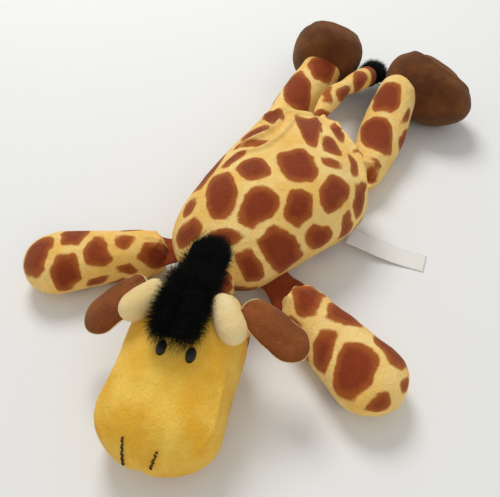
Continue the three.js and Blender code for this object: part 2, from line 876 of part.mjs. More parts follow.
function addFoot(side, legFrame, leg) {
  const ankle = sectionAt(leg, leg.spine.getLength() - ankleRadius).centre;
  const frame = footFrame(side, legFrame.localToWorld(ankle.clone()));
  const seat = -footHeight / 2;
  const foot = footForm();
  const dome = loft(foot).translate(0, 0, seat);
  const ankleHollow = seenFrom(frame, legFrame, ballHollow(ankleRadius, ankle, limbSides, limbRings));
  const legHollow = seenFrom(frame, legFrame, flareFrom(leg, ankle));
  const across = footWidth / 2 + overrun;
  const soleTop = seat + soleThickness;
  const soleRegion = solidOf(block(
    new THREE.Vector3(-footLength, -across, seat - overrun),
    new THREE.Vector3(footLength, across, soleTop - seamGap / 2),
  ));
  const domeRegion = solidOf(block(
    new THREE.Vector3(-footLength, -across, soleTop + seamGap / 2),
    new THREE.Vector3(footLength, across, seat + footHeight + overrun),
  ));
  const whole = solidOf(dome).subtract(ankleHollow).subtract(legHollow);
  const cavity = solidOf(loft(plain(foot), -plushWall).translate(0, 0, seat));
  const inner = solidOf(loft(plain(foot), -plushWall - seamGap).translate(0, 0, seat));
  const upper = whole.intersect(domeRegion).subtract(cavity);
  addPiece(frame, `foot_${side}`, pressFlat(frame, upper), colours.brown);
  addPiece(frame, `sole_${side}`, pressFlat(frame, whole.intersect(soleRegion)), colours.brown);
  const pellets = inner.intersect(domeRegion).subtract(ankleHollow).subtract(legHollow);
  addPiece(frame, `foot_${side}_pellets`, pellets, colours.pouch);
}

// Tail: a thin stuffed tube from the rear gather, with a tuft of fur on its end

function addTail() {
  const rear = sectionAt(torso, torso.spine.getLength()).centre;
  rear.x += tailRootRadius + 2 * seamGap;
  const place = rear.applyMatrix4(torsoFrame.matrixWorld);
  const frame = frameAt(place, 90);
  const tailHeights = [tailRise, tailRise, -tailDrop * tailDropShare, -tailDrop];
  const tail = {
    spine: new THREE.CatmullRomCurve3([
      new THREE.Vector3(-tailRootRadius, 0, 0),
      ...tailBendShares.map((share, index) => new THREE.Vector3(
        tailLength * share,
        -tailSide * tailSideShares[index],
        tailHeights[index],
      )),
    ]),
    halfWidth: (share) => tailRadius * blendShares(tailSwellShares, share),
    above: (share) => tailRadius * blendShares(tailSwellShares, share),
    below: (share) => tailRadius * blendShares(tailSwellShares, share),
    startRound: tailRootRadius,
    endRound: tailRadius,
    rings: limbRings + 2,
    sides: smallSides,
  };
  addPiece(frame, 'tail', solidOf(loft(tail)), colours.print);
  const rest = tuftRadius - floorCut - place.z;
  const start = tail.spine.getPointAt(1);
  const tuftHeights = [(start.z + rest) / 2, rest];
  const tuft = {
    spine: new THREE.CatmullRomCurve3([
      start.clone().setX(start.x - tailRadius),
      ...tuftBendShares.map((share, index) => new THREE.Vector3(
        start.x + tuftLength * share,
        start.y + tailSide * tuftSideShares[index],
        tuftHeights[index],
      )),
    ]),
    halfWidth: () => tuftRadius,
    above: () => tuftRadius,
    below: () => tuftRadius,
    startRound: tuftRadius,
    endRound: tuftRadius * tuftTipShare,
    rings: smallRings,
    sides: smallSides,
  };
  const fur = solidOf(loft(tuft)).subtract(solidOf(loft(tail, seamGap)));
  addPiece(frame, 'tail_tuft', pressFlat(frame, fur), colours.fur);
}

// Label: a bare folded ribbon that leaves the side seam and droops to the table

function addLabel() {
  const place = seatBeside(torso, torsoFrame, {
    share: labelShare,
    height: labelSeamHeight,
    hand: -handOf.right,
    yaw: labelYaw,
    beadRadius: labelThickness / 2,
    beadWidth: labelWidth,
  });
  const frame = frameAt(place, labelYaw);
  const bead = labelThickness / 2;
  const drop = labelSeamHeight - bead;
  const outline = new THREE.Shape();
  outline.absarc(0, 0, bead, Math.PI / 2, 3 * Math.PI / 2);
  const [nearBend, farBend] = labelBendShares.map((share) => labelLength * share);
  outline.bezierCurveTo(
    nearBend, -bead - drop * labelDropShare,
    farBend, -bead - drop,
    labelLength, -bead - drop,
  );
  outline.lineTo(labelLength, bead - drop);
  outline.bezierCurveTo(
    farBend, bead - drop,
    nearBend, bead - drop * labelDropShare,
    0, bead,
  );
  const ribbon = new THREE.ExtrudeGeometry(outline, {
    depth: labelWidth,
    bevelEnabled: false,
    curveSegments: arcSteps,
  });
  ribbon.rotateX(Math.PI / 2).translate(0, labelWidth / 2, 0);
  addPiece(frame, 'side_label', solidOf(ribbon), colours.ribbon, ribbonRoughness);
}

addTorso();
addNeck();
addHead();
addFace();
addMane();
addHorns();
addEars();
addArms();
addLegs();
addTail();
addLabel();

export default toy;
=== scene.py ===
"""A floppy plush giraffe, lying limp on its belly on a pale table.

Millimetres are used for every size below and turned into metres where a mesh is made.
The muzzle points towards -Y, the feet towards +Y, and the table is at z = 0.
"""

import json
import math
import random

import bmesh
import bpy
import numpy as np
from mathutils import Matrix, Vector, noise


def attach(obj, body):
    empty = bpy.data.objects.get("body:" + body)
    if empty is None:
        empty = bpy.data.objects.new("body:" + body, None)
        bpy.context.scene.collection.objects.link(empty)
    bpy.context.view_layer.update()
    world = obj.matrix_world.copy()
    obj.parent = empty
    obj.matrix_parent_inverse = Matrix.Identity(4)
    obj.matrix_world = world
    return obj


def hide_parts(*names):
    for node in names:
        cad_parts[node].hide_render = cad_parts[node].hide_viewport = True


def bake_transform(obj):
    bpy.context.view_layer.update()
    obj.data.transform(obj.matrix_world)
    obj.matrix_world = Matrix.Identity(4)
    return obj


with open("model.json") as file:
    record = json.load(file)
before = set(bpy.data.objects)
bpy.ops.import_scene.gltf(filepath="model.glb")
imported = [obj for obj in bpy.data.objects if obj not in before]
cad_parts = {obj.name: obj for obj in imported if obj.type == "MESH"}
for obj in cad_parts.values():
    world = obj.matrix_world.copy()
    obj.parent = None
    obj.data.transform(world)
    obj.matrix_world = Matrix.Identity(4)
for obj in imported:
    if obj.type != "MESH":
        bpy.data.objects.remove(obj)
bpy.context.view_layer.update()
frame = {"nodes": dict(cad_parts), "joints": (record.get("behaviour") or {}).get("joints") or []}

MM = 0.001
GRAVITY_CUT = 0.5
SIDES = ("left", "right")
HAND = {"left": -1, "right": 1}

# Camera

CAMERA_PLACE = Vector((125.0, -265.0, 312.9))
CAMERA_AHEAD = Vector((-0.320, 0.602, -0.731))
CAMERA_RIGHT = Vector((0.883, 0.469, 0.0))
CAMERA_LENS = 44.64


def add_camera():
    data = bpy.data.cameras.new("camera")
    data.lens = CAMERA_LENS
    data.sensor_fit = "HORIZONTAL"
    camera = bpy.data.objects.new("camera", data)
    ahead = CAMERA_AHEAD.normalized()
    right = (CAMERA_RIGHT - ahead * CAMERA_RIGHT.dot(ahead)).normalized()
    up = right.cross(ahead)
    turn = Matrix((right, up, -ahead)).transposed()
    camera.matrix_world = Matrix.Translation(CAMERA_PLACE * MM) @ turn.to_4x4()
    bpy.context.scene.collection.objects.link(camera)
    bpy.context.scene.camera = camera


# Forms: swelling bodies along a spine, as in the solids


def blend_shares(shares, share):
    """Smooth value between shares given at equal steps along a form."""
    last = len(shares) - 1
    place = min(max(share, 0.0), 1.0) * last
    step = min(int(place), last - 1)
    part = place - step
    before = shares[max(step - 1, 0)]
    start, end = shares[step], shares[step + 1]
    after = shares[min(step + 2, last)]
    rise_start, rise_end = (end - before) / 2, (after - start) / 2
    cube = 2 * start - 2 * end + rise_start + rise_end
    square = -3 * start + 3 * end - 2 * rise_start - rise_end
    return ((cube * part + square) * part + rise_start) * part + start


def round_end(reach, round_length):
    left = max(0.0, 1 - reach / round_length)
    return math.sqrt(max(0.0, 1 - left * left))


class Spine:
    """A smooth curve through points, measured by distance along it."""

    STEPS = 160

    def __init__(self, points):
        lists = [[p[axis] for p in points] for axis in range(3)]
        self.track = [Vector([blend_shares(values, k / self.STEPS) for values in lists])
                      for k in range(self.STEPS + 1)]
        self.marks = [0.0]
        for a, b in zip(self.track, self.track[1:]):
            self.marks.append(self.marks[-1] + (b - a).length)
        self.length = self.marks[-1]

    def at(self, share):
        """The place and the direction at a share of the length."""
        reach = min(max(share, 0.0), 1.0) * self.length
        low = 0
        high = self.STEPS
        while high - low > 1:
            middle = (low + high) // 2
            if self.marks[middle] <= reach:
                low = middle
            else:
                high = middle
        span = self.marks[high] - self.marks[low]
        part = (reach - self.marks[low]) / span
        ahead = (self.track[min(high + 1, self.STEPS)] - self.track[max(low - 1, 0)]).normalized()
        return self.track[low].lerp(self.track[high], part), ahead


class Form:
    def __init__(self, points, wide, above, below, start_round, end_round, squareness=2.0, upright=False):
        self.spine = Spine(points)
        self.wide, self.above, self.below = wide, above, below
        self.start_round, self.end_round = start_round, end_round
        self.squareness = squareness
        self.upright = upright

    def section(self, reach, margin=0.0):
        length = self.spine.length
        share = min(max((reach - margin) / length, 0.0), 1.0)
        centre, ahead = self.spine.at(share)
        if self.upright:
            ahead = Vector((1, 0, 0))
        centre = centre + ahead * (reach - margin - share * length)
        across = Vector((0, 0, 1)).cross(ahead).normalized()
        up = ahead.cross(across)
        swell = round_end(reach, self.start_round + margin)
        swell *= round_end(length + 2 * margin - reach, self.end_round + margin)
        return (centre, across, up, (self.wide(share) + margin) * swell,
                (self.above(share, centre.z) + margin) * swell,
                (self.below(share, centre.z) + margin) * swell)

    def point(self, reach, angle, margin=0.0):
        """A point of the surface, by distance along and angle around."""
        centre, across, up, wide, above, below = self.section(reach, margin)
        power = 2 / self.squareness
        side = math.copysign(abs(math.cos(angle)) ** power, math.cos(angle))
        rise = math.copysign(abs(math.sin(angle)) ** power, math.sin(angle))
        tall = above if rise > 0 else below
        return centre + across * (wide * side) + up * (tall * rise)

    def run(self, margin=0.0):
        return self.spine.length + 2 * margin


def frame_at(place, yaw, pitch=0.0, roll=0.0):
    turn = Matrix.Rotation(math.radians(yaw), 4, "Z") @ Matrix.Rotation(math.radians(pitch), 4, "Y")
    return Matrix.Translation(place) @ turn @ Matrix.Rotation(math.radians(roll), 4, "X")


def joint_place(name):
    joint = next(joint for joint in frame["joints"] if joint["name"] == name)
    return Vector(joint["pos_m"]) / MM


def on_table(place):
    return Vector((place.x, place.y, 0))


# Torso

TORSO_LENGTH = 164
TORSO_WIDTH = 109
TORSO_HEIGHT = 66
TORSO_FRAME = frame_at((-8, -66, 0), 90)
TORSO_WIDTH_SHARES = (0.6, 0.66, 0.76, 0.87, 0.96, 0.975, 0.87, 0.64, 0.36)
TORSO_TOP_SHARES = (0.64, 0.78, 0.9, 0.98, 1, 1, 0.95, 0.84, 0.72)
TORSO_BOTTOM_SHARES = (0.2, 0.05, 0, 0, 0, 0, 0, 0.1, 0.42)
TORSO_LEVEL_SHARES = (0.45, 0.43, 0.4, 0.38, 0.37, 0.37, 0.41, 0.52, 0.6)
TORSO_SWAY_SHARES = (0.03, 0.05, 0.035, -0.005, -0.045, -0.062, -0.034, 0.02, 0.04)


def torso_form():
    steps = len(TORSO_LEVEL_SHARES) - 1
    points = [(TORSO_LENGTH * k / steps, TORSO_WIDTH * TORSO_SWAY_SHARES[k], TORSO_HEIGHT * level)
              for k, level in enumerate(TORSO_LEVEL_SHARES)]
    return Form(
        points,
        wide=lambda share: TORSO_WIDTH / 2 * blend_shares(TORSO_WIDTH_SHARES, share),
        above=lambda share, level: TORSO_HEIGHT * blend_shares(TORSO_TOP_SHARES, share) - level,
        below=lambda share, level: (level + GRAVITY_CUT
                                    - TORSO_HEIGHT * blend_shares(TORSO_BOTTOM_SHARES, share)),
        start_round=30, end_round=20, squareness=2.3, upright=True)


# Head

HEAD_LENGTH = 106
HEAD_WIDTH = 68
HEAD_HEIGHT = 58
HEAD_YAW = -77.7
CROWN_OFFSET = 5
CROWN_SEAM = 31
NECK_PLACE = Vector((-4.5, -71, 31))
NECK_RADIUS = 14.5
HEAD_FRAME = frame_at(on_table(NECK_PLACE), HEAD_YAW)
HEAD_WIDTH_SHARES = (0.86, 0.9, 0.94, 0.95, 0.95, 0.96, 0.98, 0.99, 0.97)
HEAD_TOP_SHARES = (0.92, 0.99, 1, 0.97, 0.9, 0.84, 0.78, 0.72, 0.62)
HEAD_BOTTOM_SHARES = (0.3, 0.16, 0.06, 0, 0, 0, 0, 0, 0.06)
HEAD_LEVEL_SHARES = (0.56, 0.52, 0.48, 0.44, 0.42, 0.4, 0.38, 0.36, 0.34)


def head_form():
    steps = len(HEAD_LEVEL_SHARES) - 1
    points = [(CROWN_OFFSET + HEAD_LENGTH * k / steps, 0, HEAD_HEIGHT * level)
              for k, level in enumerate(HEAD_LEVEL_SHARES)]
    return Form(
        points,
        wide=lambda share: HEAD_WIDTH / 2 * blend_shares(HEAD_WIDTH_SHARES, share),
        above=lambda share, level: HEAD_HEIGHT * blend_shares(HEAD_TOP_SHARES, share) - level,
        below=lambda share, level: (level + GRAVITY_CUT
                                    - HEAD_HEIGHT * blend_shares(HEAD_BOTTOM_SHARES, share)),
        start_round=22, end_round=27, squareness=2.5, upright=True)


# Limbs

ARM = {"length": 90, "width": 46, "height": 33, "root": 14, "tip": 23, "tip_round": 22, "rise": 0,
       "shares": (0.68, 0.71, 0.77, 0.85, 0.93, 1, 1)}
LEG = {"length": 106, "width": 36, "height": 33, "root": 13, "tip": 17, "tip_round": 17, "rise": 22,
       "shares": (0.72, 0.8, 0.93, 1, 0.98, 0.9, 0.88)}
ARM_YAW = {"left": 216, "right": -27}
LEG_YAW = {"left": 86.5, "right": 94}
ARM_STRAP = {"left": 6, "right": 14}
LEG_STRAP = {"left": 16, "right": 6}
ARM_STRAP_WIDTH = 18
LEG_STRAP_WIDTH = 13
STRAP_THICKNESS = 3.6
STRAP_PILE = 1.5
ARM_TUCK = (14, 0)
LEG_TUCK = (7, 9)


def limb_form(limb, strap):
    level = limb["height"] / 2 - GRAVITY_CUT
    length, tip = limb["length"], limb["tip"]
    points = [(strap + length * share, 0, level + limb["rise"] * lift)
              for share, lift in ((0, 0), (0.35, 0), (0.7, 0.5), (1, 1))]
    start = 1 - limb["tip_round"] / length
    before = start - limb["tip_round"] / length / 2

    def ease(share):
        part = min(max((share - before) / (start - before), 0.0), 1.0)
        return part * part * (3 - 2 * part)

    def wide(share):
        if share * length < limb["root"]:
            return limb["root"]
        swell = limb["width"] / 2 * blend_shares(limb["shares"], share)
        return swell + (tip - swell) * ease(share)

    def tall(share, level_there):
        half = limb["height"] / 2
        return half + (min(tip, half) - half) * ease(share)

    return Form(points, wide, tall, tall, limb["root"], limb["tip_round"])


def arm_frame(side):
    return frame_at(on_table(joint_place(f"arm_{side}_lift")), ARM_YAW[side])


def leg_frame(side):
    return frame_at(on_table(joint_place(f"leg_{side}_lift")), LEG_YAW[side])


# Feet

FOOT_LENGTH = 76
FOOT_WIDTH = 58.9
FOOT_HEIGHT = 50
FOOT_LEVEL_SHARE = 0.42
FOOT_WIDTH_SHARES = (0.94, 0.99, 1, 0.98, 0.92)
FOOT_TOP_SHARES = (0.94, 1, 1, 0.94, 0.84)
FOOT_POSES = {"left": {"yaw": -59, "pitch": -41, "roll": 157, "right": -4, "back": 20},
              "right": {"yaw": -14, "pitch": 12, "roll": 139, "right": 18, "back": 25}}


def foot_form():
    level = FOOT_HEIGHT * (FOOT_LEVEL_SHARE - 0.5)
    return Form(
        [(-FOOT_LENGTH / 2, 0, level), (FOOT_LENGTH / 2, 0, level)],
        wide=lambda share: FOOT_WIDTH / 2 * blend_shares(FOOT_WIDTH_SHARES, share),
        above=lambda share, here: FOOT_HEIGHT * (blend_shares(FOOT_TOP_SHARES, share) - 0.5) - here,
        below=lambda share, here: here + FOOT_HEIGHT / 2,
        start_round=27, end_round=34, squareness=2.3, upright=True)


def foot_frame(side):
    pose = FOOT_POSES[side]
    ankle = joint_place(f"foot_{side}_flex")
    place = Vector((ankle.x + pose["right"], ankle.y + pose["back"], 0))
    turned = frame_at(place, pose["yaw"], pose["pitch"], pose["roll"])
    form = foot_form()
    lowest = min((turned @ form.point(form.run() * a / 24, math.tau * b / 24)).z
                 for a in range(25) for b in range(24))
    return Matrix.Translation((0, 0, -lowest - GRAVITY_CUT)) @ turned


# Small solids: horns, ears and tail

HORN_LENGTH = 29
HORN_RADIUS = 8
HORN_BASE_RADIUS = 6
HORN_SPREAD = HEAD_WIDTH * 0.265
HORN_SHARE = 0.25
HORN_YAW = 38
HORN_DROOP = 13
HORN_LIFT = 4

EAR_LENGTH = 42
EAR_WIDTH = 22
EAR_THICKNESS = 2.4
EAR_PLUMPNESS = 4.6
EAR_PILE = 0.8
LINING_INSET = -0.3
EAR_ROOT_WIDTH = 8
EAR_POSES = {"left": {"yaw": 47, "droop": 24}, "right": {"yaw": 24, "droop": 15}}

TAIL_LENGTH = 92
TAIL_RADIUS = 8.4
TAIL_ROOT_RADIUS = 3.6
TAIL_RISE = 3
TAIL_DROP = 10
TAIL_SIDE = 9
TAIL_SWELL_SHARES = (0.42, 0.8, 0.9, 0.7, 0.92, 1, 0.98)
TUFT_LENGTH = 40
TUFT_RADIUS = 9.6

MANE_WIDTH = 25
MANE_PILE = 9
MANE_SPINE_SHARES = (0.5, 0.38, 0.26, 0.16, 0.09)
MANE_NAPE_SHARE = 0.02
MANE_OVERHANG = 13

LABEL_LENGTH = 54
LABEL_WIDTH = 15
LABEL_THICKNESS = 0.9
LABEL_YAW = 8
LABEL_SEAM_HEIGHT = 9


def crest_at(form, share):
    centre, _, _, _, above, _ = form.section(share * form.run())
    return Vector((centre.x, centre.y, centre.z + above))


def height_over(form, reach, across):
    """Height of an upright form's upper surface at a distance along it, off its middle."""
    centre, _, _, wide, above, _ = form.section(reach)
    lean = min(abs(across - centre.y) / wide, 1.0) ** form.squareness
    return centre.z + above * (1 - lean) ** (1 / form.squareness)


def horn_form():
    def swell(share, _=0):
        return HORN_BASE_RADIUS + (HORN_RADIUS - HORN_BASE_RADIUS) * min(1, share * 2)
    return Form([(-HORN_BASE_RADIUS, 0, 0), (HORN_LENGTH - HORN_BASE_RADIUS, 0, 0)],
                swell, swell, swell, HORN_BASE_RADIUS, HORN_RADIUS * 1.2)


def horn_frame(side):
    place = crest_at(HEAD, HORN_SHARE)
    place.y = HAND[side] * HORN_SPREAD
    place.z = height_over(HEAD, HORN_SHARE * HEAD.run(), place.y) + HORN_LIFT
    return HEAD_FRAME @ frame_at(place, HAND[side] * HORN_YAW, HORN_DROOP)


def ear_form(above, below, inset):
    """A leaf: above and below are its thickness over and under the seam."""
    def leaf(share):
        slim = math.sin(math.pi * min(1, 0.2 + share * 0.62)) ** 2
        return max(slim, math.sin(math.pi * min(1, 0.1 + share * 0.56)) ** 2)

    def half(share):
        return EAR_ROOT_WIDTH / 2 + (EAR_WIDTH - EAR_ROOT_WIDTH) / 2 * leaf(share) + EAR_PILE / 2 - inset

    def swell(depth):
        return lambda share, _: depth * (0.55 + 0.45 * leaf(share))
    return Form([(inset, 0, 0), (EAR_LENGTH + EAR_PILE - inset, 0, 0)],
                half, swell(above), swell(below), EAR_ROOT_WIDTH / 2, EAR_WIDTH / 2 - inset, squareness=2.1)


def ear_frame(side):
    pose = EAR_POSES[side]
    yaw = HEAD_YAW + HAND[side] * (90 - pose["yaw"])
    return frame_at(joint_place(f"ear_{side}_flap"), yaw, pose["droop"])


def tail_form():
    def swell(share, _=0):
        return TAIL_RADIUS * blend_shares(TAIL_SWELL_SHARES, share)
    return Form([(-TAIL_ROOT_RADIUS, 0, 0), (TAIL_LENGTH * 0.18, 0, TAIL_RISE),
                 (TAIL_LENGTH * 0.4, -TAIL_SIDE * 0.2, TAIL_RISE),
                 (TAIL_LENGTH * 0.7, -TAIL_SIDE * 0.6, -TAIL_DROP * 0.35),
                 (TAIL_LENGTH, -TAIL_SIDE, -TAIL_DROP)],
                swell, swell, swell, TAIL_ROOT_RADIUS, TAIL_RADIUS)


def tuft_form(tail_height):
    rest = TUFT_RADIUS - GRAVITY_CUT - tail_height
    start = Vector((TAIL_LENGTH, -TAIL_SIDE, -TAIL_DROP))

    def swell(share, _=0):
        return TUFT_RADIUS
    return Form([(start.x - TAIL_RADIUS, start.y, start.z),
                 (start.x + TUFT_LENGTH * 0.35, start.y + TAIL_SIDE * 0.3, (start.z + rest) / 2),
                 (start.x + TUFT_LENGTH * 0.8, start.y + TAIL_SIDE * 0.6, rest)],
                swell, swell, swell, TUFT_RADIUS, TUFT_RADIUS * 1.5)


def mane_form():
    points = []
    for share in MANE_SPINE_SHARES:
        crest = crest_at(HEAD, share)
        points.append((crest.x, crest.y, crest.z + MANE_PILE / 2))
    nape = crest_at(HEAD, MANE_NAPE_SHARE)
    front = crest_at(HEAD, MANE_SPINE_SHARES[0])
    points.append((nape.x - MANE_OVERHANG - CROWN_OFFSET, nape.y, front.z + MANE_PILE / 2))
    return Form(points, lambda share: MANE_WIDTH / 2, lambda share, _: MANE_PILE / 2,
                lambda share, _: MANE_PILE / 2, MANE_WIDTH / 3, MANE_WIDTH / 3, squareness=2.6)


TORSO = torso_form()
HEAD = head_form()


# Making pieces

COLLECTION = bpy.context.scene.collection


def wrap(form, place, rings, sides, margin=0.0):
    """A ball of faces laid over a form, with its poles at the form's two tips."""
    bm = bmesh.new()
    bmesh.ops.create_uvsphere(bm, u_segments=sides, v_segments=rings, radius=1)
    run = form.run(margin)
    for vert in bm.verts:
        angle = math.atan2(vert.co.y, vert.co.x)
        vert.co = place @ form.point(run * (1 - vert.co.z) / 2, angle, margin)
    bmesh.ops.recalc_face_normals(bm, faces=bm.faces)
    bm.normal_update()
    return bm


FOLD_STEPS = 20
DEEPEST_DENT = 1.5
SETTLED_DENT = 0.6


def fold_track(form, place, path):
    """A smooth line over a form, through places given by share along and angle around."""
    shares = [share for share, _ in path]
    angles = [math.radians(angle) for _, angle in path]
    steps = [step / FOLD_STEPS for step in range(FOLD_STEPS + 1)]
    return [np.array(place @ form.point(blend_shares(shares, k) * form.run(), blend_shares(angles, k)))
            for k in steps]


def fold_heights(points, folds):
    """Height of the folds at each point: ridges rise, creases sink, and both fade at their ends."""
    total = np.zeros(len(points))
    for track, height, width in folds:
        nearest = np.full(len(points), np.inf)
        fade = np.zeros(len(points))
        for step, (start, end) in enumerate(zip(track, track[1:])):
            run = end - start
            part = np.clip((points - start) @ run / (run @ run), 0, 1)
            away = np.linalg.norm(points - start - part[:, None] * run, axis=1)
            share = (step + part) / FOLD_STEPS
            fade = np.where(away < nearest, np.sqrt(np.minimum(1, 4 * np.minimum(share, 1 - share))), fade)
            nearest = np.minimum(nearest, away)
        total += height * fade * np.exp(-(nearest / width) ** 2)
    return total


def emboss(bm, relief, folds=(), deepest=DEEPEST_DENT):
    """Moves each vertex along its normal by the height of the relief and the folds at its place."""
    bm.normal_update()
    points = np.array([vert.co for vert in bm.verts])
    heights = fold_heights(points, folds) + np.array([relief(vert.co) for vert in bm.verts])
    heights = np.maximum(heights, -deepest)
    for vert, height in zip(bm.verts, heights):
        vert.co += vert.normal * height
    bm.normal_update()


CLOTH_VOXEL = 4
CLOTH_FRAMES = 20
CLOTH_PRESSURE = 4
CLOTH_LOOSENESS = 0.05
CLOTH_SINK = 0.9
CLOTH_RISE = 2.2
CLOTH_QUALITY = 6
CLOTH_BENDING = 0.05
CLOTH_SMOOTHING = 2


def vertex_places(mesh):
    places = np.empty(len(mesh.vertices) * 3)
    mesh.vertices.foreach_get("co", places)
    return places.reshape(-1, 3)


def with_modifiers(pad):
    """The mesh of an object with its modifiers worked in."""
    return bpy.data.meshes.new_from_object(pad.evaluated_get(bpy.context.evaluated_depsgraph_get()))


def settle_cloth(bm):
    """Lets a stuffed form's loose cloth swell over the filling, and keeps the soft dents it makes."""
    bmesh.ops.scale(bm, vec=(MM, MM, MM), verts=bm.verts)
    mesh = bpy.data.meshes.new("swelling")
    bm.to_mesh(mesh)
    pad = bpy.data.objects.new("swelling", mesh)
    COLLECTION.objects.link(pad)
    even = pad.modifiers.new("even", "REMESH")
    even.mode = "VOXEL"
    even.voxel_size = CLOTH_VOXEL * MM
    pad.data = with_modifiers(pad)
    pad.modifiers.remove(even)
    start = vertex_places(pad.data)
    outward = np.array([vert.normal for vert in pad.data.vertices])
    cloth = pad.modifiers.new("cloth", "CLOTH")
    cloth.settings.quality = CLOTH_QUALITY
    cloth.settings.use_pressure = True
    cloth.settings.uniform_pressure_force = CLOTH_PRESSURE
    cloth.settings.shrink_min = -CLOTH_LOOSENESS
    cloth.settings.bending_stiffness = CLOTH_BENDING
    cloth.settings.effector_weights.gravity = 0
    cloth.point_cache.frame_end = CLOTH_FRAMES
    for step in range(CLOTH_FRAMES):
        bpy.context.scene.frame_set(step + 1)
    lift = ((vertex_places(with_modifiers(pad)) - start) * outward).sum(axis=1)
    pad.modifiers.remove(cloth)
    bpy.context.scene.frame_set(1)
    lift = np.clip(lift - np.median(lift), -CLOTH_SINK * MM, CLOTH_RISE * MM)
    pad.data.vertices.foreach_set("co", (start + outward * lift[:, None]).ravel())
    pad.data.update()
    smooth = pad.modifiers.new("smooth", "SUBSURF")
    smooth.levels = smooth.render_levels = CLOTH_SMOOTHING
    bm.clear()
    bm.from_mesh(with_modifiers(pad))
    bpy.data.objects.remove(pad)
    bmesh.ops.scale(bm, vec=(1 / MM, 1 / MM, 1 / MM), verts=bm.verts)
    return bm


def rest_on_table(bm):
    for vert in bm.verts:
        vert.co.z = max(vert.co.z, 0.0)


def make_piece(name, bm, material, slot, body, nodes=()):
    """Turns a mesh in millimetres into a finished piece, which rides on its body when the body is given by
    name.
    """
    bmesh.ops.scale(bm, vec=(MM, MM, MM), verts=bm.verts)
    mesh = bpy.data.meshes.new(name)
    bm.to_mesh(mesh)
    bm.free()
    mesh.shade_smooth()
    mesh.materials.append(material)
    piece = bpy.data.objects.new(name, mesh)
    COLLECTION.objects.link(piece)
    if isinstance(body, str):
        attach(piece, body)
    else:
        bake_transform(piece)
    if nodes:
        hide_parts(*nodes)
    return piece


def groove(distance, depth, width):
    return -depth * math.exp(-(distance / width) ** 2)


def lumps(place, size, seed):
    return noise.noise(place / size + Vector((seed, seed * 2, seed * 3)))


# Materials

def paint(name):
    material = bpy.data.materials.new(name)
    material.use_nodes = True
    return material, material.node_tree, material.node_tree.nodes["Principled BSDF"]


def node(tree, kind, inputs=None, **settings):
    made = tree.nodes.new(kind)
    for key, value in settings.items():
        setattr(made, key, value)
    for key, value in (inputs or {}).items():
        if isinstance(value, bpy.types.NodeSocket):
            tree.links.new(value, made.inputs[key])
        else:
            made.inputs[key].default_value = value
    return made


def speckle(tree, scale, detail=2.0, roughness=0.5, distortion=0.0):
    place = node(tree, "ShaderNodeTexCoord").outputs["Object"]
    return node(tree, "ShaderNodeTexNoise", {
        "Vector": place, "Scale": scale, "Detail": detail, "Roughness": roughness,
        "Distortion": distortion}).outputs["Fac"]


def remap(tree, value, low, high, new_low=0.0, new_high=1.0, smooth=False):
    kind = "SMOOTHSTEP" if smooth else "LINEAR"
    return node(tree, "ShaderNodeMapRange", {
        "Value": value, "From Min": low, "From Max": high, "To Min": new_low, "To Max": new_high},
        interpolation_type=kind).outputs["Result"]


def mix(tree, factor, first, second, blend="MIX"):
    made = node(tree, "ShaderNodeMix", data_type="RGBA", blend_type=blend)
    for socket, value in ((made.inputs[0], factor), (made.inputs[6], first), (made.inputs[7], second)):
        if isinstance(value, bpy.types.NodeSocket):
            tree.links.new(value, socket)
        else:
            socket.default_value = value
    return made.outputs[2]


def colour(red, green, blue):
    """A colour written as it looks, turned into the linear values that shaders use."""
    return tuple(((part + 0.055) / 1.055) ** 2.4 if part > 0.04 else part / 12.92
                 for part in (red, green, blue)) + (1.0,)


def pile(tree, shader, tuft_scale, height, sheen, sheen_tint):
    """Short cloth pile: fine tufts, coarser brushed clumps and a soft sheen."""
    tufts = speckle(tree, tuft_scale, 3.0, 0.65)
    clumps = speckle(tree, tuft_scale / 3, 2.0, 0.5, 0.8)
    both = node(tree, "ShaderNodeMath", {0: tufts, 1: clumps}, operation="ADD").outputs[0]
    bump = node(tree, "ShaderNodeBump", {"Strength": 0.8, "Distance": height, "Height": both})
    tree.links.new(bump.outputs["Normal"], shader.inputs["Normal"])
    shader.inputs["Roughness"].default_value = 0.92
    shader.inputs["Specular IOR Level"].default_value = 0.2
    shader.inputs["Sheen Weight"].default_value = sheen
    shader.inputs["Sheen Roughness"].default_value = 0.55
    shader.inputs["Sheen Tint"].default_value = sheen_tint


def mottle(tree, base, amount, scale):
    """Lighter and darker strands in a coloured pile."""
    strands = remap(tree, speckle(tree, scale, 3.0, 0.7), 0.3, 0.7, 1 - amount, 1 + amount)
    brushed = remap(tree, speckle(tree, scale / 6, 2.0, 0.5, 1.2), 0.3, 0.7, 1 - amount / 2, 1 + amount / 2)
    both = node(tree, "ShaderNodeMath", {0: strands, 1: brushed}, operation="MULTIPLY").outputs[0]
    return mix(tree, 1.0, base, both, "MULTIPLY")


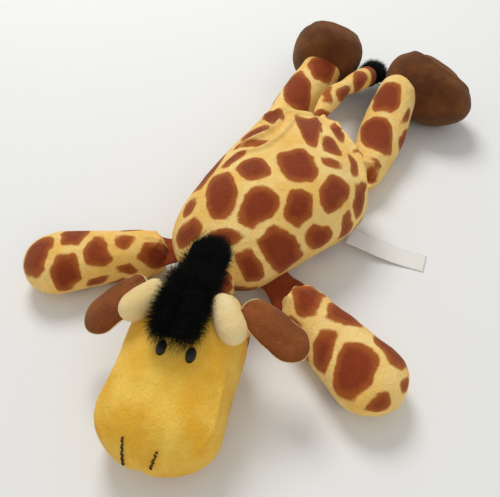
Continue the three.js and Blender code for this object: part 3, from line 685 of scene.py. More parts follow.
def printed_plush(name, ground, ground_deep, patch, patch_deep):
    material, tree, shader = paint(name)
    edge = node(tree, "ShaderNodeAttribute", attribute_name="print").outputs["Fac"]
    wander = remap(tree, speckle(tree, 110, 2.0, 0.5), 0.3, 0.7, -0.9, 0.9)
    fuzz = remap(tree, speckle(tree, 1500, 2.0, 0.6), 0.3, 0.7, -0.3, 0.3)
    shifted = node(tree, "ShaderNodeMath", {0: edge, 1: wander}, operation="ADD").outputs[0]
    frayed = node(tree, "ShaderNodeMath", {0: shifted, 1: fuzz}, operation="ADD").outputs[0]
    inside = remap(tree, frayed, -0.9, 0.9, smooth=True)
    depth = remap(tree, frayed, 0.5, 5.0)
    drift = speckle(tree, 45, 2.0)
    ground_colour = mix(tree, remap(tree, drift, 0.35, 0.65), ground, ground_deep)
    patch_colour = mix(tree, depth, patch, patch_deep)
    both = mix(tree, inside, ground_colour, patch_colour)
    tree.links.new(mottle(tree, both, 0.09, 1200), shader.inputs["Base Color"])
    pile(tree, shader, 900, 0.0009, 0.15, colour(1.0, 0.9, 0.72))
    return material


PLUSH_SHEEN_TINT = (1.0, 0.88, 0.68)
PLUSH_PILE_HEIGHT = 0.0009


def plain_plush(name, base, deep, tuft_scale=900, sheen=0.2, strand_contrast=0.07):
    material, tree, shader = paint(name)
    drift = remap(tree, speckle(tree, 55, 2.0), 0.35, 0.65)
    both = mix(tree, drift, base, deep)
    tree.links.new(mottle(tree, both, strand_contrast, 1200), shader.inputs["Base Color"])
    pile(tree, shader, tuft_scale, PLUSH_PILE_HEIGHT, sheen, colour(*PLUSH_SHEEN_TINT))
    return material


def thread(name, base, gloss):
    material, tree, shader = paint(name)
    place = node(tree, "ShaderNodeTexCoord").outputs["Object"]
    strands = node(tree, "ShaderNodeTexWave", {
        "Vector": place, "Scale": 700.0, "Distortion": 1.5, "Detail": 1.0}).outputs["Fac"]
    bump = node(tree, "ShaderNodeBump", {"Strength": 0.6, "Distance": 0.0003, "Height": strands})
    tree.links.new(bump.outputs["Normal"], shader.inputs["Normal"])
    shade = remap(tree, strands, 0.0, 1.0, 0.75, 1.15)
    tree.links.new(mix(tree, 1.0, base, shade, "MULTIPLY"), shader.inputs["Base Color"])
    shader.inputs["Roughness"].default_value = gloss
    return material


def long_fur(name):
    material, tree, shader = paint(name)
    drift = remap(tree, speckle(tree, 120, 3.0), 0.3, 0.7)
    both = mix(tree, drift, colour(0.03, 0.03, 0.028), colour(0.07, 0.075, 0.065))
    tree.links.new(both, shader.inputs["Base Color"])
    shader.inputs["Roughness"].default_value = 0.7
    shader.inputs["Specular IOR Level"].default_value = 0.07
    shader.inputs["Sheen Weight"].default_value = 0.03
    shader.inputs["Sheen Tint"].default_value = colour(0.7, 0.8, 0.75)
    return material


def woven_ribbon(name):
    material, tree, shader = paint(name)
    layout = node(tree, "ShaderNodeUVMap", uv_map="weave").outputs["UV"]
    across = node(tree, "ShaderNodeTexWave", {"Vector": layout, "Scale": 9.0}, bands_direction="X")
    along = node(tree, "ShaderNodeTexWave", {"Vector": layout, "Scale": 9.0}, bands_direction="Y")
    weave = node(tree, "ShaderNodeMath", {0: across.outputs["Fac"], 1: along.outputs["Fac"]},
                 operation="MULTIPLY").outputs[0]
    bump = node(tree, "ShaderNodeBump", {"Strength": 0.4, "Distance": 0.0002, "Height": weave})
    tree.links.new(bump.outputs["Normal"], shader.inputs["Normal"])
    shade = remap(tree, weave, 0.0, 1.0, 0.93, 1.03)
    tree.links.new(mix(tree, 1.0, colour(0.93, 0.92, 0.89), shade, "MULTIPLY"), shader.inputs["Base Color"])
    shader.inputs["Roughness"].default_value = 0.6
    shader.inputs["Sheen Weight"].default_value = 0.15
    return material


def stuffing(name, base):
    material, tree, shader = paint(name)
    tree.links.new(mottle(tree, base, 0.1, 300), shader.inputs["Base Color"])
    bump = node(tree, "ShaderNodeBump", {"Strength": 0.8, "Distance": 0.002,
                                         "Height": speckle(tree, 180, 4.0, 0.7)})
    tree.links.new(bump.outputs["Normal"], shader.inputs["Normal"])
    shader.inputs["Roughness"].default_value = 0.95
    return material


PRINT = printed_plush("giraffe_plush", colour(0.96, 0.83, 0.53), colour(0.94, 0.75, 0.39),
                      colour(0.66, 0.35, 0.12), colour(0.52, 0.2, 0.07))
MUSTARD = plain_plush("mustard_plush", colour(0.95, 0.78, 0.33), colour(0.91, 0.69, 0.2))
FELT = plain_plush("cream_felt", colour(0.97, 0.88, 0.66), colour(0.95, 0.83, 0.57), 1500, 0.2, 0.03)
BROWN = plain_plush("brown_plush", colour(0.55, 0.3, 0.13), colour(0.44, 0.22, 0.09), 700, 0.15, 0.18)
DARK_BROWN = plain_plush("dark_brown_plush", colour(0.43, 0.24, 0.1), colour(0.32, 0.16, 0.06),
                         700, 0.15, 0.13)
EYE_THREAD = thread("black_embroidery", colour(0.03, 0.028, 0.028), 0.45)
NOSE_THREAD = thread("brown_embroidery", colour(0.22, 0.11, 0.05), 0.65)
FUR = long_fur("black_fur")
RIBBON = woven_ribbon("white_ribbon")
FIBRE = stuffing("fibre_filling", colour(0.93, 0.92, 0.89))
PELLETS = stuffing("pellet_filling", colour(0.78, 0.74, 0.66))


# Giraffe print

HALF_BAND = 2.2
SQUARENESS = 3
SCATTER_TRIES = 260
SCATTER_SIZES = (13, 21)
SCATTER_STRETCH = 1.15
SCATTER_ENDS = (0.05, 0.95)
FAR_OUTSIDE = -20.0
FIELD_LIMIT = 8
TAPER_LIMITS = (0.3, 1.7)
TINY = 1e-6


def print_field(points, patches):
    """Distance inside (above zero) or outside the nearest patch, for each point."""
    best = np.full(len(points), FAR_OUTSIDE)
    second = np.full(len(points), FAR_OUTSIDE)
    for centre, along, around, long, broad, taper in patches:
        away = points - centre
        flat_along = away @ along
        flat_around = away @ around
        flat = np.hypot(flat_along, flat_around) + TINY
        stretch = np.linalg.norm(away, axis=1) / flat
        share = flat_along * stretch / (long / 2)
        width = broad / 2 * np.clip(1 + taper * share, *TAPER_LIMITS)
        ratio = (np.abs(share) ** SQUARENESS
                 + np.abs(flat_around * stretch / width) ** SQUARENESS) ** (1 / SQUARENESS)
        field = (1 - ratio) * math.sqrt(long * broad) / 2
        second = np.maximum(second, np.minimum(best, field))
        best = np.maximum(best, field)
    return np.minimum(best, (best - second) / 2 - HALF_BAND)


def place_patches(form, place, rows):
    """Patches given by share along, angle around, length, breadth, turn and taper."""
    placed = []
    for share, angle, long, broad, turn, taper in rows:
        reach = share * form.run()
        angle = math.radians(angle)
        centre = form.point(reach, angle)
        along = (form.point(reach + 0.5, angle) - form.point(reach - 0.5, angle)).normalized()
        around = (form.point(reach, angle + 0.02) - form.point(reach, angle - 0.02)).normalized()
        out = along.cross(around).normalized()
        around = out.cross(along)
        spin = Matrix.Rotation(math.radians(turn), 3, out)
        rotate = place.to_3x3()
        placed.append((np.array(place @ centre), np.array(rotate @ (spin @ along)),
                       np.array(rotate @ (spin @ around)), long, broad, taper))
    return placed


def scatter_patches(form, place, patches, seed):
    """Adds patches to the sides that are still bare, a band away from all the others."""
    draw = random.Random(seed)
    placed = list(patches)
    for _ in range(SCATTER_TRIES):
        size = draw.uniform(*SCATTER_SIZES)
        row = (draw.uniform(*SCATTER_ENDS), draw.uniform(0, 360), size * SCATTER_STRETCH, size,
               draw.uniform(0, 180), 0)
        added = place_patches(form, place, [row])
        if print_field(added[0][0][None, :], placed)[0] < -size / 2 - 2 * HALF_BAND:
            placed += added
    return placed


def print_on(piece, patches):
    mesh = piece.data
    points = np.empty(len(mesh.vertices) * 3)
    mesh.vertices.foreach_get("co", points)
    field = print_field(points.reshape(-1, 3) / MM, patches)
    layer = mesh.attributes.new("print", "FLOAT", "POINT")
    layer.data.foreach_set("value", np.clip(field, -FIELD_LIMIT, FIELD_LIMIT))


# Most rows of the patch tables were fitted by a separate program to outlines read by eye from the photo. They
# were then rounded, and most sizes were enlarged by 1 to 4 mm. The other rows were chosen one by one.
TORSO_PATCHES = [
    (0.745, 93, 50, 17, -13, 0.45), (0.5, 101, 29, 25, -51, 0.05), (0.405, 83, 23, 20, -64, 0.1),
    (0.25, 77, 38, 21, -41, 0), (0.25, 105, 31, 22, -3, 0.05), (0.34, 130, 24, 18, -38, 0),
    (0.48, 137, 27, 19, -14, 0.2), (0.595, 118, 16, 11, 68, 0), (0.68, 111, 23, 12, -25, -0.2),
    (0.82, 120, 27, 8, -2, 0), (0.665, 135, 18, 8, -20, 0), (0.575, 159, 23, 14, -50, 0),
    (0.475, 173, 23, 13, -88, -0.1), (0.34, 166, 22, 17, 33, 0), (0.2, 156, 35, 24, 69, 0.1),
    (0.085, 147, 25, 14, -83, 0.05), (0.12, 98, 22, 13, 72, 0), (0.095, 54, 21, 15, 60, 0.1),
    (0.195, 47, 17, 10, -6, 0.2), (0.385, 38, 46, 14, -10, -0.1), (0.445, 60, 21, 10, 5, 0.1),
    (0.56, 62, 27, 12, 70, 0.1), (0.63, 57, 23, 22, -40, 0),
    (0.8, 57, 35, 16, -33, 0.2),
]
ARM_PATCHES = {
    "left": [(0.885, 78, 30, 20, -68, 0.05), (0.625, 111, 22, 18, -85, -0.1), (0.45, 68, 23, 19, -74, 0),
             (0.3, 79, 18, 12, 8, 0.1), (0.68, 34, 26, 18, -86, 0), (0.065, 29, 27, 17, 24, 0),
             (0.28, 15, 13, 8, 6, 0), (0.48, -2, 19, 7, -9, 0)],
    "right": [(0.18, 90, 25, 20, 40, -0.2), (0.39, 57, 24, 20, -49, 0), (0.51, 135, 25, 15, 54, 0),
              (0.735, 117, 32, 24, 58, 0), (0.75, 41, 26, 17, 5, 0.15), (0.95, 135, 15, 11, -30, 0),
              (0.95, 39, 11, 7, 46, 0.1), (0.265, 147, 20, 6, -14, 0)],
}
LEG_PATCHES = {
    "left": [(0.735, 118, 26, 24, 69, 0), (0.47, 88, 44, 23, -32, 0.1), (0.07, 84, 23, 13, 84, 0.1),
             (0.34, 22, 18, 12, 0, 0)],
    "right": [(0.71, 72, 32, 23, -17, 0.1), (0.355, 87, 37, 25, -28, 0), (0.03, 133, 18, 14, -26, 0.1),
              (0.12, 39, 32, 9, -8, 0), (0.625, 148, 23, 7, 12, 0)],
}
ROOT_PATCHES = {"arm": [(0.4, 90, 60, 60, 0, 0)], "leg": []}
TAIL_PATCHES = [(0.065, 147, 17, 7, 58, -0.2), (0.24, 68, 20, 10, -28, 0.1), (0.37, 168, 23, 12, 16, 0),
                (0.66, 137, 24, 14, -28, 0), (0.97, 90, 24, 60, 0, 0)]
CROWN_PATCHES = [(0.1, 66, 22, 11, 18, -0.2), (0.12, 22, 22, 12, 0, 0), (0.1, 150, 20, 18, 0, 0),
                 (0.04, 110, 12, 14, 0, 0)]


# Torso

# The first five ridges and the last crease began as places that a separate program worked out from pixels
# read by eye, and were then changed by eye. The other paths were chosen one by one.
TORSO_RIDGES = [
    ([(0.98, 86), (0.91, 66), (0.83, 66), (0.72, 71), (0.64, 71), (0.58, 62), (0.53, 47)], 4.0, 1.5),
    ([(0.98, 90), (0.9, 76), (0.78, 80), (0.68, 81), (0.6, 79), (0.52, 73), (0.48, 58)], 3.4, 1.6),
    ([(0.98, 102), (0.94, 113), (0.84, 123), (0.77, 135), (0.69, 145), (0.62, 157)], 3.8, 1.7),
    ([(0.97, 96), (0.87, 98), (0.76, 98), (0.66, 104)], 1.8, 2.8),
    ([(0.8, 40), (0.71, 60), (0.64, 72)], 2.4, 1.6),
    ([(0.98, 76), (0.93, 52), (0.87, 46), (0.8, 48), (0.72, 52)], 2.8, 1.7),
    ([(0.98, 112), (0.95, 128), (0.88, 141), (0.8, 152), (0.72, 160)], 2.2, 1.8),
    ([(0.98, 124), (0.92, 140), (0.84, 158), (0.75, 172)], 1.8, 2.6),
    ([(0.98, 60), (0.92, 46), (0.84, 30), (0.76, 14)], 1.8, 2.6),
]
TORSO_CREASES = [
    ([(0.97, 86), (0.89, 75), (0.79, 76), (0.69, 77), (0.6, 75), (0.54, 63)], -1.5, 1.5),
    ([(0.97, 98), (0.85, 101), (0.73, 103), (0.62, 109)], -1.3, 1.6),
    ([(0.47, 81), (0.41, 86), (0.35, 90)], -1.0, 1.3),
]


GATHER_AXIS_HEIGHT = 30
GATHER_START_SHARE = 0.8
GATHER_FOLDS = 11
GATHER_DEPTH = 1.6
BROAD_LUMP_SIZE = 34
FINE_LUMP_SIZE = 13
FINE_LUMP_HEIGHT = 0.4


def torso_relief(place):
    """Broad and fine lumps all over, and folds that deepen towards the gathered rear."""
    local = TORSO_FRAME.inverted() @ place
    share = local.x / TORSO_LENGTH
    around = math.atan2(local.z - GATHER_AXIS_HEIGHT, local.y)
    gather = max(0.0, (share - GATHER_START_SHARE) / (1 - GATHER_START_SHARE)) ** 1.5
    folds = math.cos(GATHER_FOLDS * around + 2 * lumps(local, 40, 3)) * GATHER_DEPTH * gather
    return folds + lumps(local, BROAD_LUMP_SIZE, 1) + lumps(local, FINE_LUMP_SIZE, 2) * FINE_LUMP_HEIGHT


def add_torso():
    bm = settle_cloth(wrap(TORSO, TORSO_FRAME, 190, 260))
    folds = [(fold_track(TORSO, TORSO_FRAME, path), height, width)
             for path, height, width in TORSO_RIDGES + TORSO_CREASES]
    emboss(bm, torso_relief, folds, SETTLED_DENT)
    rest_on_table(bm)
    piece = make_piece("torso_cloth", bm, PRINT, "printed_plush", "torso", ["torso_skin"])
    patches = place_patches(TORSO, TORSO_FRAME, TORSO_PATCHES)
    print_on(piece, scatter_patches(TORSO, TORSO_FRAME, patches, 3))


NECK_FOLDS = 5


def neck_form():
    """A short stuffed sleeve, as wide as the ball joint between torso and head."""
    def swell(share, _=0):
        return NECK_RADIUS * (1 - 0.035 * (1 + math.cos(math.tau * NECK_FOLDS * share)))
    return Form([(-NECK_RADIUS, 0, 0), (NECK_RADIUS, 0, 0)], swell, swell, swell,
                NECK_RADIUS, NECK_RADIUS)


def add_neck():
    form = neck_form()
    place = frame_at(NECK_PLACE, HEAD_YAW)
    bm = wrap(form, place, 60, 72)
    piece = make_piece("neck_cloth", bm, PRINT, "printed_plush", "neck", ["neck"])
    print_on(piece, scatter_patches(form, place, place_patches(form, place, [(0.5, 40, 16, 12, 0, 0)]), 4))


# Head

CHIN_SEAM_HEIGHT = 10
CLEFT_START = 92
NOSTRIL_MIDDLE = HEAD_WIDTH * -0.02
CHEEK_RIDGES = [([(0.5, 34), (0.68, 31), (0.84, 30), (0.95, 32)], 1.0, 1.8),
                ([(0.5, 146), (0.68, 149), (0.84, 150), (0.95, 148)], 1.0, 1.8)]


def head_relief(place):
    local = HEAD_FRAME.inverted() @ place
    height = groove(local.x - CROWN_SEAM, 1.4, 1.6)
    if local.x > CROWN_SEAM:
        height += groove(local.z - CHIN_SEAM_HEIGHT, 1.1, 1.4)
        front = min(1.0, max(0.0, (local.x - CLEFT_START) / 8))
        height += groove(local.y - NOSTRIL_MIDDLE, 1.2, 3.2) * front
    return height + lumps(local, 26, 5) * 0.9


def head_panel(name, keep, material, slot, node_name):
    bm = wrap(HEAD, HEAD_FRAME, 150, 200)
    folds = [(fold_track(HEAD, HEAD_FRAME, path), height, width) for path, height, width in CHEEK_RIDGES]
    emboss(bm, head_relief, folds)
    rest_on_table(bm)
    for point, out in keep:
        plane = HEAD_FRAME @ Vector(point)
        normal = HEAD_FRAME.to_3x3() @ Vector(out)
        geometry = list(bm.verts) + list(bm.edges) + list(bm.faces)
        bmesh.ops.bisect_plane(bm, geom=geometry, plane_co=plane, plane_no=normal, clear_outer=True)
        bmesh.ops.holes_fill(bm, edges=[edge for edge in bm.edges if edge.is_boundary])
    piece = make_piece(name, bm, material, slot, "head", [node_name])
    return piece


def add_head():
    crown = head_panel("crown_cloth", [((CROWN_SEAM, 0, 0), (1, 0, 0))], PRINT, "printed_plush",
                       "crown_panel")
    patches = place_patches(HEAD, HEAD_FRAME, CROWN_PATCHES)
    print_on(crown, scatter_patches(HEAD, HEAD_FRAME, patches, 5))
    head_panel("face_cloth", [((CROWN_SEAM, 0, 0), (-1, 0, 0)), ((0, 0, CHIN_SEAM_HEIGHT), (0, 0, -1))],
               MUSTARD, "mustard_plush", "face_panel")
    head_panel("chin_cloth", [((CROWN_SEAM, 0, 0), (-1, 0, 0)), ((0, 0, CHIN_SEAM_HEIGHT), (0, 0, 1))],
               MUSTARD, "mustard_plush", "chin_panel")


EYE_WIDTH = 5.4
EYE_LENGTH = 8.4
EYE_THICKNESS = 2.6
EYE_SPACING = HEAD_WIDTH * 0.23
EYE_SHARE = 0.52
EYE_MIDDLE = HEAD_WIDTH * 0.038


def add_eyes():
    reach = EYE_SHARE * HEAD.run()
    crest = crest_at(HEAD, EYE_SHARE)
    beyond = crest_at(HEAD, EYE_SHARE + 1 / 16)
    slope = math.atan2(beyond.z - crest.z, beyond.x - crest.x)
    for side in SIDES:
        across = EYE_MIDDLE + HAND[side] * EYE_SPACING / 2
        centre = Vector((crest.x, across, height_over(HEAD, reach, across)))
        bm = bmesh.new()
        bmesh.ops.create_uvsphere(bm, u_segments=40, v_segments=24, radius=1)
        bmesh.ops.scale(bm, verts=bm.verts, vec=(EYE_LENGTH / 2, EYE_WIDTH / 2, EYE_THICKNESS))
        bmesh.ops.rotate(bm, verts=bm.verts, matrix=Matrix.Rotation(-slope, 3, "Y"))
        bmesh.ops.translate(bm, verts=bm.verts, vec=centre)
        bmesh.ops.transform(bm, verts=bm.verts, matrix=HEAD_FRAME)
        make_piece(f"eye_{side}_stitching", bm, EYE_THREAD, "black_thread", "head", [f"eye_{side}"])


NOSTRIL_LENGTHS = {"left": 11.2, "right": 7}
NOSTRIL_TOPS = {"left": 34.2, "right": 32.6}
NOSTRIL_SPACING = HEAD_WIDTH * 0.265
NOSTRIL_SLANT = 3.6
STITCH_SPACING = 1.3
STITCH_REACH = 1.25
STITCH_THICKNESS = 0.62
STITCH_TILT = 26


def nose_surface(height, across):
    """The muzzle's front at a height and off the middle, in the head's own frame."""
    reach = HEAD.run() - 0.2
    while reach > 0:
        centre, _, _, wide, above, below = HEAD.section(reach)
        rise = height - centre.z
        tall = above if rise > 0 else below
        if (abs(across) / wide) ** HEAD.squareness + (abs(rise) / tall) ** HEAD.squareness < 1:
            break
        reach -= 0.2
    return Vector((CROWN_OFFSET + reach, across, height))


def add_nostrils():
    for side in SIDES:
        bm = bmesh.new()
        stitches = round(NOSTRIL_LENGTHS[side] / STITCH_SPACING) + 1
        for step in range(stitches):
            share = step / (stitches - 1)
            height = NOSTRIL_TOPS[side] - NOSTRIL_LENGTHS[side] * share
            across = NOSTRIL_MIDDLE + HAND[side] * (NOSTRIL_SPACING - NOSTRIL_SLANT * share) / 2
            centre = nose_surface(height, across)
            turn = Matrix.Rotation(math.radians(STITCH_TILT if step % 2 else -STITCH_TILT), 4, "X")
            shape = Matrix.Diagonal((STITCH_THICKNESS, STITCH_THICKNESS, STITCH_REACH, 1))
            bmesh.ops.create_uvsphere(bm, u_segments=12, v_segments=10, radius=1,
                                      matrix=HEAD_FRAME @ Matrix.Translation(centre) @ turn @ shape)
        make_piece(f"nostril_{side}_stitching", bm, NOSE_THREAD, "brown_thread", "head",
                   [f"nostril_{side}"])


def add_horns():
    for side in SIDES:
        bm = wrap(horn_form(), horn_frame(side), 40, 48)
        piece = make_piece(f"horn_{side}_felt", bm, FELT, "cream_felt", f"horn_{side}", [f"horn_{side}"])


def add_ears():
    for side in SIDES:
        place = ear_frame(side)
        inverse = place.inverted()

        def relief(spot, inverse=inverse):
            local = inverse @ spot
            pinch = max(0.0, 1 - local.x / 20) ** 2
            return lumps(local, 11, 21) * 0.7 - pinch * 1.6 * math.exp(-(local.y / 2.2) ** 2)
        bm = wrap(ear_form(EAR_PLUMPNESS, 0.3, 0), place, 70, 80)
        emboss(bm, relief)
        make_piece(f"ear_{side}_plush", bm, BROWN, "brown_plush", f"ear_{side}", [f"ear_{side}"])
        bm = wrap(ear_form(0.3, EAR_THICKNESS, LINING_INSET), place, 60, 64)
        make_piece(f"ear_{side}_felt", bm, FELT, "cream_felt", f"ear_{side}", [f"ear_{side}_lining"])


# Fur

MANE_STRANDS = 8600
TUFT_STRANDS = 4500

def strands(name, roots, body, slot, nodes):
    """Fur: one small cone doubled until there are enough, each bent to its own root and path."""
    bm = bmesh.new()
    bmesh.ops.create_cone(bm, segments=3, radius1=1, radius2=0.25, depth=1, cap_ends=True)
    bmesh.ops.translate(bm, verts=bm.verts, vec=(0, 0, 0.5))
    side_edges = [edge for edge in bm.edges if abs(edge.verts[0].co.z - edge.verts[1].co.z) > 0.5]
    bmesh.ops.subdivide_edges(bm, edges=side_edges, cuts=2)
    template = np.array([vert.co for vert in bm.verts])
    copies = 1
    while copies < len(roots):
        bmesh.ops.duplicate(bm, geom=list(bm.verts) + list(bm.edges) + list(bm.faces))
        copies *= 2
    spare = list(bm.verts)[len(roots) * len(template):]
    bmesh.ops.delete(bm, geom=spare, context="VERTS")
    bm.verts.ensure_lookup_table()
    corner = 0
    for root, ahead, out, long, thick in roots:
        across = ahead.cross(out).normalized()
        for x, y, z in template:
            spot = root + ahead * (long * z) - out * (long * 0.35 * z * z)
            width = thick * (1 - 0.6 * z)
            bm.verts[corner].co = spot + across * (x * width) + out * (y * width * 0.6)
            corner += 1
    return make_piece(name, bm, FUR, slot, body, nodes)


STRAND_THICKNESS = 0.24


def fur_roots(form, place, count, long, seed, heading):
    """Roots spread over a form, each with a direction that heading gives."""
    draw = random.Random(seed)
    roots = []
    turn = place.to_3x3()
    for _ in range(count):
        share = draw.random()
        angle = draw.uniform(-0.35, math.pi + 0.35)
        reach = share * form.run()
        spot = form.point(reach, angle, -1.5)
        centre = form.section(reach)[0]
        out = (spot - centre).normalized()
        ahead = heading(share, angle, out, draw)
        roots.append((place @ spot, turn @ ahead.normalized(), turn @ out,
                      long * draw.uniform(0.7, 1.15), STRAND_THICKNESS))
    return roots


def add_mane():
    form = mane_form()
    bm = wrap(form, HEAD_FRAME, 60, 48, -1.5)
    make_piece("mane_backing", bm, FUR, "black_fur", "head", ["mane"])

    def heading(share, angle, out, draw):
        spread = Vector((1.6 * (0.5 - share), math.cos(angle) * (0.3 + share), 0))
        jitter = Vector((draw.uniform(-1, 1), draw.uniform(-1, 1), draw.uniform(-0.6, 0.6)))
        return spread + out * 0.9 + jitter * 0.7
    count = MANE_STRANDS
    strands("mane_fur", fur_roots(form, HEAD_FRAME, count, 10.5, 7, heading), "head", "black_fur", ["mane"])


def tail_frame():
    return frame_at(joint_place("tail_lift"), 90)


def add_tail():
    place = tail_frame()
    form = tail_form()
    bm = wrap(form, place, 90, 60)
    body = ("torso", "tail", place @ Vector((-2, 0, 0)), place @ Vector((3, 0, 0)))
    piece = make_piece("tail_cloth", bm, PRINT, "printed_plush", body, ["tail"])
    print_on(piece, scatter_patches(form, place, place_patches(form, place, TAIL_PATCHES), 6))
    tuft = tuft_form(place.translation.z)
    bm = wrap(tuft, place, 40, 40, -2)
    rest_on_table(bm)
    make_piece("tuft_backing", bm, FUR, "black_fur", "tail", ["tail_tuft"])

    def heading(share, angle, out, draw):
        jitter = Vector((draw.uniform(-1, 1), draw.uniform(-1, 1), draw.uniform(-1, 1)))
        return Vector((1.1, 0, 0)) + out * 0.8 + jitter * 0.7
    count = TUFT_STRANDS
    strands("tuft_fur", fur_roots(tuft, place, count, 12, 9, heading), "tail", "black_fur", ["tail_tuft"])


# Limbs

def strap_form(limb, strap, width, tuck):
    """A flat strap: its near end is tucked into the torso's seam, and its far end opens into the limb."""
    back, inward = tuck
    hidden = math.hypot(back, inward)
    level = limb["height"] / 2 - GRAVITY_CUT
    length = strap + limb["root"]

    def shown(share):
        return max(0.0, share * (length + hidden) - hidden) / length

    def wide(share):
        part = min(1, shown(share) * 1.6)
        near = width / 2 + STRAP_PILE
        return near + (limb["root"] - near) * part * part * (3 - 2 * part)

    def tall(share, _):
        return STRAP_THICKNESS / 2 + limb["root"] * 0.5 * max(0.0, shown(share) - 0.25) ** 1.4
    return Form([(-back, inward, level), (0, 0, level), (length, 0, level)], wide, tall, tall,
                STRAP_THICKNESS + abs(inward) * 0.8, limb["root"], squareness=2.2)


ROOT_RIM = [(0.14, 15), (0.1, 45), (0.05, 75), (0.045, 105), (0.08, 135), (0.12, 165)]


def add_limb(name, limb, strap, width, tuck, place, rows, seed):
    form = limb_form(limb, strap)
    patches = scatter_patches(form, place, place_patches(form, place, rows), seed)
    root = strap_form(limb, strap, width, tuck)
    bm = wrap(root, place, 50, 80)
    emboss(bm, lambda spot: lumps(spot, 9, 13) * 0.9)
    hinge = ("torso", f"{name}_root", place @ Vector((-2, 0, 16)), place @ Vector((3, 0, 16)))
    piece = make_piece(f"{name}_root_cloth", bm, PRINT, "printed_plush", hinge, [f"{name}_root"])
    print_on(piece, place_patches(root, place, ROOT_PATCHES[name[:3]]) or patches)
    bm = settle_cloth(wrap(form, place, 120, 140))
    inverse = place.inverted()

    def relief(spot):
        local = inverse @ spot
        near = max(0.0, 1 - (local.x - strap) / 26)
        pleats = math.cos(local.y * 0.9) * 0.9 * near ** 2
        return pleats + lumps(local, 24, 11) * 0.9 + lumps(local, 10, 12) * 0.35
    emboss(bm, relief, [(fold_track(form, place, ROOT_RIM), 1.2, 1.3)], SETTLED_DENT)
    rest_on_table(bm)
    piece = make_piece(f"{name}_cloth", bm, PRINT, "printed_plush", name, [name])
    print_on(piece, patches)


def add_limbs():
    for seed, side in enumerate(SIDES):
        add_limb(f"arm_{side}", ARM, ARM_STRAP[side], ARM_STRAP_WIDTH, ARM_TUCK, arm_frame(side),
                 ARM_PATCHES[side], 20 + seed)
        tuck = (LEG_TUCK[0], HAND[side] * LEG_TUCK[1])
        add_limb(f"leg_{side}", LEG, LEG_STRAP[side], LEG_STRAP_WIDTH, tuck, leg_frame(side),
                 LEG_PATCHES[side], 30 + seed)


SOLE_HEIGHT = 2.2
SOLE_PIPING = 1.0
PIPING_OFFSET = 2.6
PIPING_WIDTH = 1.5
SOLE_SEAM_DEPTH = 1.2
SOLE_SEAM_WIDTH = 1.1


def add_feet():
    form = foot_form()
    sole_top = -FOOT_HEIGHT / 2 + SOLE_HEIGHT
    for side in SIDES:
        place = foot_frame(side)
        inverse = place.inverted()

        def relief(spot, inverse=inverse):
            local = inverse @ spot
            seam = local.z - sole_top
            piping = SOLE_PIPING * math.exp(-((abs(seam) - PIPING_OFFSET) / PIPING_WIDTH) ** 2)
            return groove(seam, SOLE_SEAM_DEPTH, SOLE_SEAM_WIDTH) + piping + lumps(local, 30, 15) * 0.5
        whole = settle_cloth(wrap(form, place, 110, 140))
        emboss(whole, relief, deepest=SETTLED_DENT)
        rest_on_table(whole)
        for name, sign in (("foot", -1), ("sole", 1)):
            bm = whole.copy()
            geometry = list(bm.verts) + list(bm.edges) + list(bm.faces)
            bmesh.ops.bisect_plane(bm, geom=geometry, plane_co=place @ Vector((0, 0, sole_top)),
                                   plane_no=place.to_3x3() @ Vector((0, 0, sign)), clear_outer=True)
            bmesh.ops.holes_fill(bm, edges=[edge for edge in bm.edges if edge.is_boundary])
            piece = make_piece(f"{name}_{side}_plush", bm, DARK_BROWN, "brown_plush", f"foot_{side}",
                               [f"{name}_{side}"])


# Label

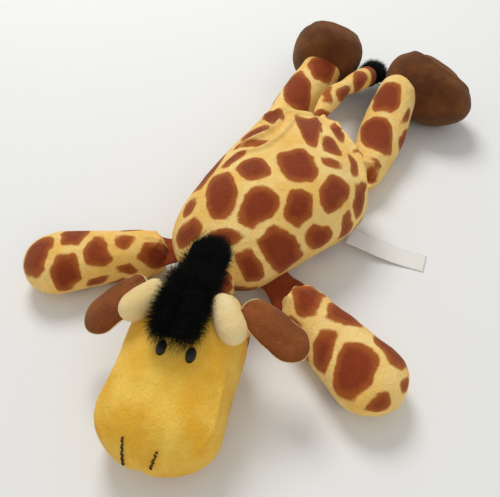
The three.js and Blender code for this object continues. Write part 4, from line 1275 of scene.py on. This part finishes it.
def add_label():
    place = frame_at(joint_place("label_flap"), LABEL_YAW)
    bead = LABEL_THICKNESS / 2
    drop = LABEL_SEAM_HEIGHT - bead
    bm = bmesh.new()
    bmesh.ops.create_grid(bm, x_segments=60, y_segments=16, size=0.5)
    layer = bm.loops.layers.uv.new("weave")
    for face in bm.faces:
        for loop in face.loops:
            loop[layer].uv = (loop.vert.co.x * LABEL_LENGTH, loop.vert.co.y * LABEL_WIDTH)
    ends = ((0, 0), (LABEL_LENGTH * 0.3, -bead - drop * 0.3), (LABEL_LENGTH * 0.45, -bead - drop),
            (LABEL_LENGTH, -bead - drop))
    for vert in bm.verts:
        share = vert.co.x + 0.5
        left = 1 - share
        weights = (left ** 3, 3 * left * left * share, 3 * left * share * share, share ** 3)
        x = sum(weight * end[0] for weight, end in zip(weights, ends))
        z = sum(weight * end[1] for weight, end in zip(weights, ends))
        vert.co = place @ Vector((x, vert.co.y * LABEL_WIDTH, z + bead))
    bmesh.ops.recalc_face_normals(bm, faces=bm.faces)
    bmesh.ops.solidify(bm, geom=bm.faces[:], thickness=LABEL_THICKNESS / 2)
    body = ("torso", "label", place @ Vector((-1, 0, 0)), place @ Vector((2, 0, 0)))
    piece = make_piece("label_ribbon", bm, RIBBON, "white_ribbon", body, ["side_label"])


# Floor and light

def add_floor():
    bpy.ops.mesh.primitive_plane_add(size=4, location=(0, 0, -0.0002))
    floor = bpy.context.object
    floor.name = "floor"
    material, _, shader = paint("pale_table")
    shader.inputs["Base Color"].default_value = colour(0.9, 0.9, 0.89)
    shader.inputs["Roughness"].default_value = 0.9
    floor.data.materials.append(material)


def add_lamp(name, place, target, size, power):
    data = bpy.data.lights.new(name, "AREA")
    data.shape = "DISK"
    data.size = size
    data.energy = power
    lamp = bpy.data.objects.new(name, data)
    lamp.location = place
    ahead = Vector(target) - Vector(place)
    lamp.rotation_euler = ahead.to_track_quat("-Z", "Y").to_euler()
    COLLECTION.objects.link(lamp)


def add_light():
    world = bpy.data.worlds.new("studio")
    world.use_nodes = True
    backdrop = world.node_tree.nodes["Background"]
    backdrop.inputs["Color"].default_value = (1, 1, 1, 1)
    backdrop.inputs["Strength"].default_value = 0.5
    bpy.context.scene.world = world
    add_lamp("window", (-0.7, 0.7, 1.3), (0, 0.03, 0), 0.7, 15)
    add_lamp("fill", (0.8, -0.9, 1.0), (0, 0.03, 0), 1.0, 4)


def set_inner_materials():
    for name, material in (("torso_filling", FIBRE), ("pellet_pouch", PELLETS), ("head_filling", FIBRE)):
        frame["nodes"][name].material_slots[0].material = material
    for side in SIDES:
        for limb in ("arm", "leg"):
            frame["nodes"][f"{limb}_{side}_filling"].material_slots[0].material = FIBRE
        frame["nodes"][f"foot_{side}_pellets"].material_slots[0].material = PELLETS


def main():
    bpy.context.scene.view_settings.view_transform = "Standard"
    add_camera()
    add_floor()
    add_light()
    add_torso()
    add_neck()
    add_head()
    add_eyes()
    add_nostrils()
    add_horns()
    add_ears()
    add_mane()
    add_tail()
    add_limbs()
    add_feet()
    add_label()
    set_inner_materials()


main()
